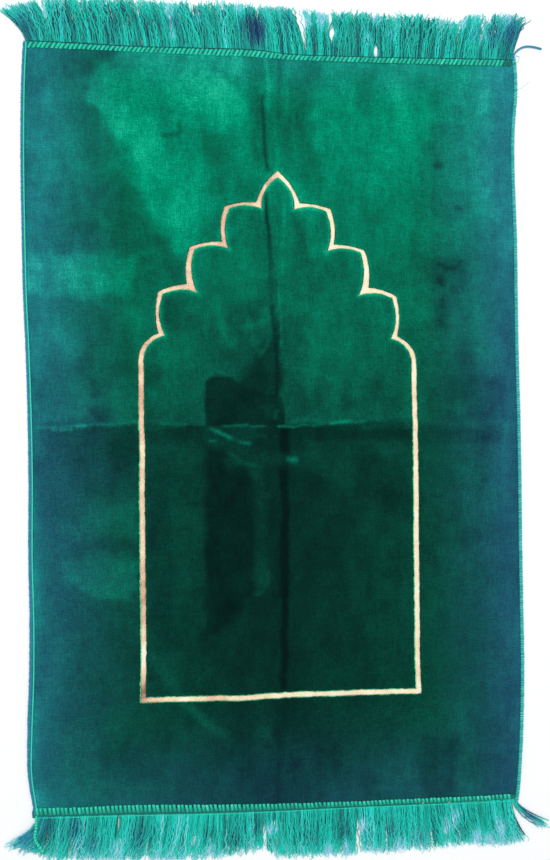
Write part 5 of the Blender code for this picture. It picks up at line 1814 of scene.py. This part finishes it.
def strip(name, rows, section, end):
    x = np.linspace(-STRIP_HALF_LONG, STRIP_HALF_LONG, round(2 * STRIP_HALF_LONG / STRIP_STEP))
    low = through(rows, "seam", x) + 0.1
    wide = through(rows, "edge", x) - low
    points = [np.stack([x, end * (low + wide * p.share), np.full(len(x), p.height)], -1) for p in section]
    data = plain_mesh(name, np.concatenate(points) * MM, band_faces(len(x), len(section), end < 0))
    return dressed(piece_of(data, name, strip_finish, smooth_faces=False))


arch_strip = strip("arch_heading_strip", ARCH_END, ARCH_STRIP, 1)
foot_strip = strip("foot_heading_strip", FOOT_END, FOOT_STRIP, -1)
print("strip faces:", len(arch_strip.data.polygons), len(foot_strip.data.polygons))

# %% [markdown]
# Each satin stitch is three threads side by side. The sewing wanders: the tables say where stitches start
# and finish and where the outer thread runs, as shares of the way from velvet to fringe.

# %% Heading stitches
Satin = namedtuple("Satin", "pitch lean top threads thick paler_start")
ARCH_SATIN = Satin(6.2, 4.4, 3.9, 3, 1.5, 0.0)
FOOT_SATIN = Satin(5.8, 1.4, 4.1, 3, 1.5, 0.45)
ARCH_SEWN = table(
    "x start finish thread",
    (-345, -0.08, 0.8, 0.95), (-277, -0.2, 0.62, 0.76), (-95, -0.38, 0.64, 0.74), (-8, -0.2, 0.84, 0.98),
    (60, -0.08, 0.86, 0.97), (345, -0.05, 0.86, 1),
)
FOOT_SEWN = table(
    "x start finish thread",
    (-345, -0.42, 0.5, 0.92), (-283, -0.46, 0.48, 0.9), (-72, -0.38, 0.48, 0.88), (-5, -0.34, 0.48, 0.86),
    (197, -0.1, 0.52, 0.86), (345, -0.17, 0.62, 1.06),
)
SEWN_FROM, SEWN_LONG = -345, 690
SIDE_BY_SIDE = 0.86  # of a thread's thickness
STITCH_TONE = 0.72
STITCH_POINTS = 5
DARK_CORNER = 326  # right of here stitches lie in shade


def satin_stitches(name, rows, end, satin, sewn, seed):
    chance = random.Random(seed)
    routes, tones = [], []
    for k in range(int(SEWN_LONG / satin.pitch)):
        x = SEWN_FROM + satin.pitch * (k + 0.5) + chance.uniform(-0.5, 0.5)
        seam = float(through(rows, "seam", x))
        wide = float(through(rows, "edge", x)) - seam
        start = float(through(sewn, "start", x)) + chance.uniform(-0.04, 0.04)
        finish = float(through(sewn, "finish", x)) + chance.uniform(-0.04, 0.04)
        in_shade = float(smooth((x - DARK_CORNER) / 10)) * (end > 0)
        stitch_tone = STITCH_TONE + chance.gauss(0.0, 0.06) - 0.5 * in_shade
        lean = satin.lean + chance.uniform(-0.8, 0.8)
        for n in range(satin.threads):
            aside = (n - (satin.threads - 1) / 2) * satin.thick * SIDE_BY_SIDE
            t = np.linspace(0.0, 1.0, STITCH_POINTS)
            reach = start + (finish - start) * t + chance.uniform(-0.02, 0.02)
            hump = (satin.top - 2.9 - 0.3 * abs(aside)) * np.sqrt(np.sin(np.pi * (0.04 + 0.92 * t)))
            across, out = x + aside + lean * (t - 0.5), end * (seam + wide * reach)
            routes.append(np.stack([across, out, 3.1 - 0.9 * t + hump], -1))
            own_tone = stitch_tone + chance.uniform(-0.06, 0.06) - 0.12 * abs(aside)
            tones.append(own_tone + satin.paler_start * (0.5 - t))
    made = threaded(name, routes, tones, [satin.thick] * len(routes), stitch_finish, 6)
    return dressed(made)


arch_stitches = satin_stitches("arch_heading_stitches", ARCH_END, 1, ARCH_SATIN, ARCH_SEWN, 31)
foot_stitches = satin_stitches("foot_heading_stitches", FOOT_END, -1, FOOT_SATIN, FOOT_SEWN, 37)

# %% [markdown]
# Outside the stitches runs a pair of twisted threads, bright at the foot. At the arch the pair is dark
# and paints the thin shadow between stitches and fringe. A few ends of the gold weave are caught by the
# foot's stitches and show as specks.

# %% Threads along the headings
THREAD_HALF_LONG = 346.0
OPPOSITE = (0.0, math.pi)  # two threads round each other
BRIGHT_THICK, SHADOW_LINE_THICK, SPECK_THICK = 0.8, 0.9, 0.8
SPECK_HEIGHT = 3.6
SPECK_HUMP = ((-1.3, -0.6, 0.0), (0.0, 0.0, 0.4), (1.3, 0.7, 0.0))
GOLD_SPECKS = ((423, 803), (449, 802), (478, 798), (487, 797), (205, 806))  # in the photo's pixels


def running_pair(rows, end, sewn, z, sway, wave_length):
    x = np.arange(-THREAD_HALF_LONG, THREAD_HALF_LONG, wave_length / 8)
    seam = through(rows, "seam", x)
    wide = through(rows, "edge", x) - seam
    pair = []
    for phase in OPPOSITE:
        turn = x / wave_length * 2 * math.pi + phase
        y = end * (seam + wide * through(sewn, "thread", x) + sway * np.sin(turn))
        pair.append(np.stack([x, y, z + 0.5 * sway * np.cos(turn)], -1))
    return pair


def plain_threads(name, routes, tones, thick, finish, steps):
    return dressed(threaded(name, routes, tones, [thick] * len(routes), finish, steps))


pair = running_pair(FOOT_END, -1, FOOT_SEWN, 2.6, 0.3, 3.4)
bright_thread = plain_threads(
    "foot_bright_thread", pair, [0.85, 0.75], BRIGHT_THICK, stitch_finish, len(pair[0])
)
# the arch's dark pair is painted shadow: the thin shadow line between stitches and fringe
pair = running_pair(ARCH_END, 1, ARCH_SEWN, 2.9, 0.25, 4.2)
painted_shadow_line = plain_threads(
    "arch_painted_shadow_line", pair, [0.0, 0.0], SHADOW_LINE_THICK, stitch_finish, len(pair[0])
)
specks = [
    np.array((*on_rug(px, py, SPECK_HEIGHT), SPECK_HEIGHT)) + SPECK_HUMP for px, py in GOLD_SPECKS
]
speck_tones = [0.5] * len(specks)
gold_specks = plain_threads("gold_specks", specks, speck_tones, SPECK_THICK, gold_finish, 4)

# %% [markdown]
# ## The bound sides
#
# Both long sides are overlocked: a thread goes round the raw edge again and again. A core fills the edge,
# and over it lie the single stitches, slanting a little. A bump could fake them from above, but the
# edge's outline would stay smooth.

# %% Cores of the bound sides
BINDING_SECTION = table(
    "inwards height",
    (0.35, 0), (0.3, 2.2), (1.2, 3.1), (3.2, 3.2), (4.75, 2.4), (4.75, 0),
)
LEFT_BINDING_ENDS = (-536.4, 544.4)
RIGHT_BINDING_ENDS = (-545.4, 542.6)
CORE_POINTS = 270
CORE_TONE = 0.2


def binding_core(name, side, ends):
    y = np.linspace(ends[0] + 0.5, ends[1] - 0.5, CORE_POINTS)
    edge = side_x(side, y)
    section = BINDING_SECTION
    points = [np.stack([edge - side * p.inwards, y, np.full(len(y), p.height)], -1) for p in section]
    data = plain_mesh(name, np.concatenate(points) * MM, band_faces(len(y), len(section), side > 0))
    write_on(data, "tone", np.full(len(data.vertices), CORE_TONE))
    write_on(data, "along", np.tile(y * MM, len(section)))
    return dressed(piece_of(data, name, edge_finish, smooth_faces=False))


left_core = binding_core("left_binding_core", -1, LEFT_BINDING_ENDS)
right_core = binding_core("right_binding_core", 1, RIGHT_BINDING_ENDS)
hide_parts("binding_left")
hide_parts("binding_right")
print("core faces:", len(left_core.data.polygons), len(right_core.data.polygons))

# %% [markdown]
# At the top right the thread has worked loose: a small loop stands off the corner, and two fibres lie on
# the floor.

# %% Overlock stitches
STITCH_OVER_EDGE = table(
    "inwards height",
    (4.9, 2.2), (4.4, 3), (3.2, 3.5), (1.3, 3.4), (0.3, 2.4), (0.05, 1.2), (0.5, 0.6),
)
OVERLOCK_PITCH = 2.4
STITCH_LEAN = 1.5
LOOP_POINTS = (
    (512, 66, 2.6), (515, 64, 1.6), (519, 60, 0.8), (519, 56, 0.7), (516, 56, 0.7), (514, 60, 0.9),
    (512, 64, 2.0),
)
FIBRE_ABOVE = ((512, 92, 2.2), (517, 90, 0.9), (523, 87, 0.4), (529, 82, 0.4))
FIBRE_BELOW = ((512, 99, 2.0), (516, 97, 0.6), (521, 97, 0.4))
LOOSE_THREADS = table(
    "points tone thick", (LOOP_POINTS, 0.95, 0.9), (FIBRE_ABOVE, 0.5, 0.35), (FIBRE_BELOW, 0.5, 0.35)
)


def photo_route(points):
    return np.array(smooth_route([(*on_rug(px, py, z), z) for px, py, z in points], 4))


def overlock(name, side, ends, tone, seed, loose=()):
    chance = random.Random(seed)
    routes, tones, thick = [], [], []
    for k in range(int((ends[1] - ends[0] - 2.0) / OVERLOCK_PITCH)):
        y = ends[0] + 1.4 + OVERLOCK_PITCH * k + chance.uniform(-0.25, 0.25)
        lean = STITCH_LEAN + chance.uniform(-0.3, 0.3)
        edge = float(side_x(side, y)) + side * chance.uniform(-0.35, 0.25)
        t = np.linspace(0.0, 1.0, len(STITCH_OVER_EDGE))
        over = zip(STITCH_OVER_EDGE, t)
        route = np.array([(edge - side * p.inwards, y + lean * (s - 0.3), p.height) for p, s in over])
        route[:, 1] = np.clip(route[:, 1], ends[0] + 0.9, ends[1] - 0.9)
        routes.append(route)
        tones.append(tone + chance.gauss(0.0, 0.1))
        thick.append(chance.uniform(1.5, 1.8))
    routes += [photo_route(one.points) for one in loose]
    tones += [one.tone for one in loose]
    thick += [one.thick for one in loose]
    return dressed(threaded(name, routes, tones, thick, edge_finish, 9))


# The left stitches take a low, bluish tone: a painted lavender highlight along the lit left edge.
left_overlock = overlock("left_overlock_stitches", -1, LEFT_BINDING_ENDS, 0.3, 41)
right_overlock = overlock("right_overlock_stitches", 1, RIGHT_BINDING_ENDS, 0.84, 43, LOOSE_THREADS)

# %% [markdown]
# Inside the left edge runs a chain of two bright threads. It strays inwards in the lower half, as in the
# photo.

# %% The chain along the left side
CHAIN_INWARDS = table(
    "y inwards",
    (-540, 4.8), (-440, 6), (-400, 6.6), (-340, 6.6), (-200, 5.6), (-20, 5.5), (80, 4.9), (200, 4.6),
    (540, 4.6),
)
TURN_PITCH, TURN_STEP = 3.6, 0.6
CHAIN_TONES = [0.8, 0.95]
CHAIN_THICK = 1.2
y = np.arange(LEFT_BINDING_ENDS[0] + 2, LEFT_BINDING_ENDS[1] - 2, TURN_STEP)
from_edge = through(CHAIN_INWARDS, "inwards", y)
pair = []
for phase in OPPOSITE:
    turn = y / TURN_PITCH * 2 * math.pi + phase
    x = side_x(-1, y) + from_edge + 0.55 * np.sin(turn)
    pair.append(np.stack([x, y, 3.4 + 0.4 * smooth(from_edge - 4.6) + 0.3 * np.cos(turn)], -1))
left_chain = plain_threads(
    "left_chain_thread", pair, CHAIN_TONES, CHAIN_THICK, stitch_finish, len(y)
)

# %% [markdown]
# ## The velvet on the rug's body
#
# The velvet is a sheet of cloth that lies on the floor, and the rest is sewn or woven to it. Now it
# too rides on the rug's body, its solid is hidden, and its size is printed. The scene is done.

# %% The velvet on the body, and the end
dressed(velvet)
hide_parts("velvet_field")
print("the velvet lies", [round(side / MM) for side in velvet.dimensions], "mm wide, long and high")
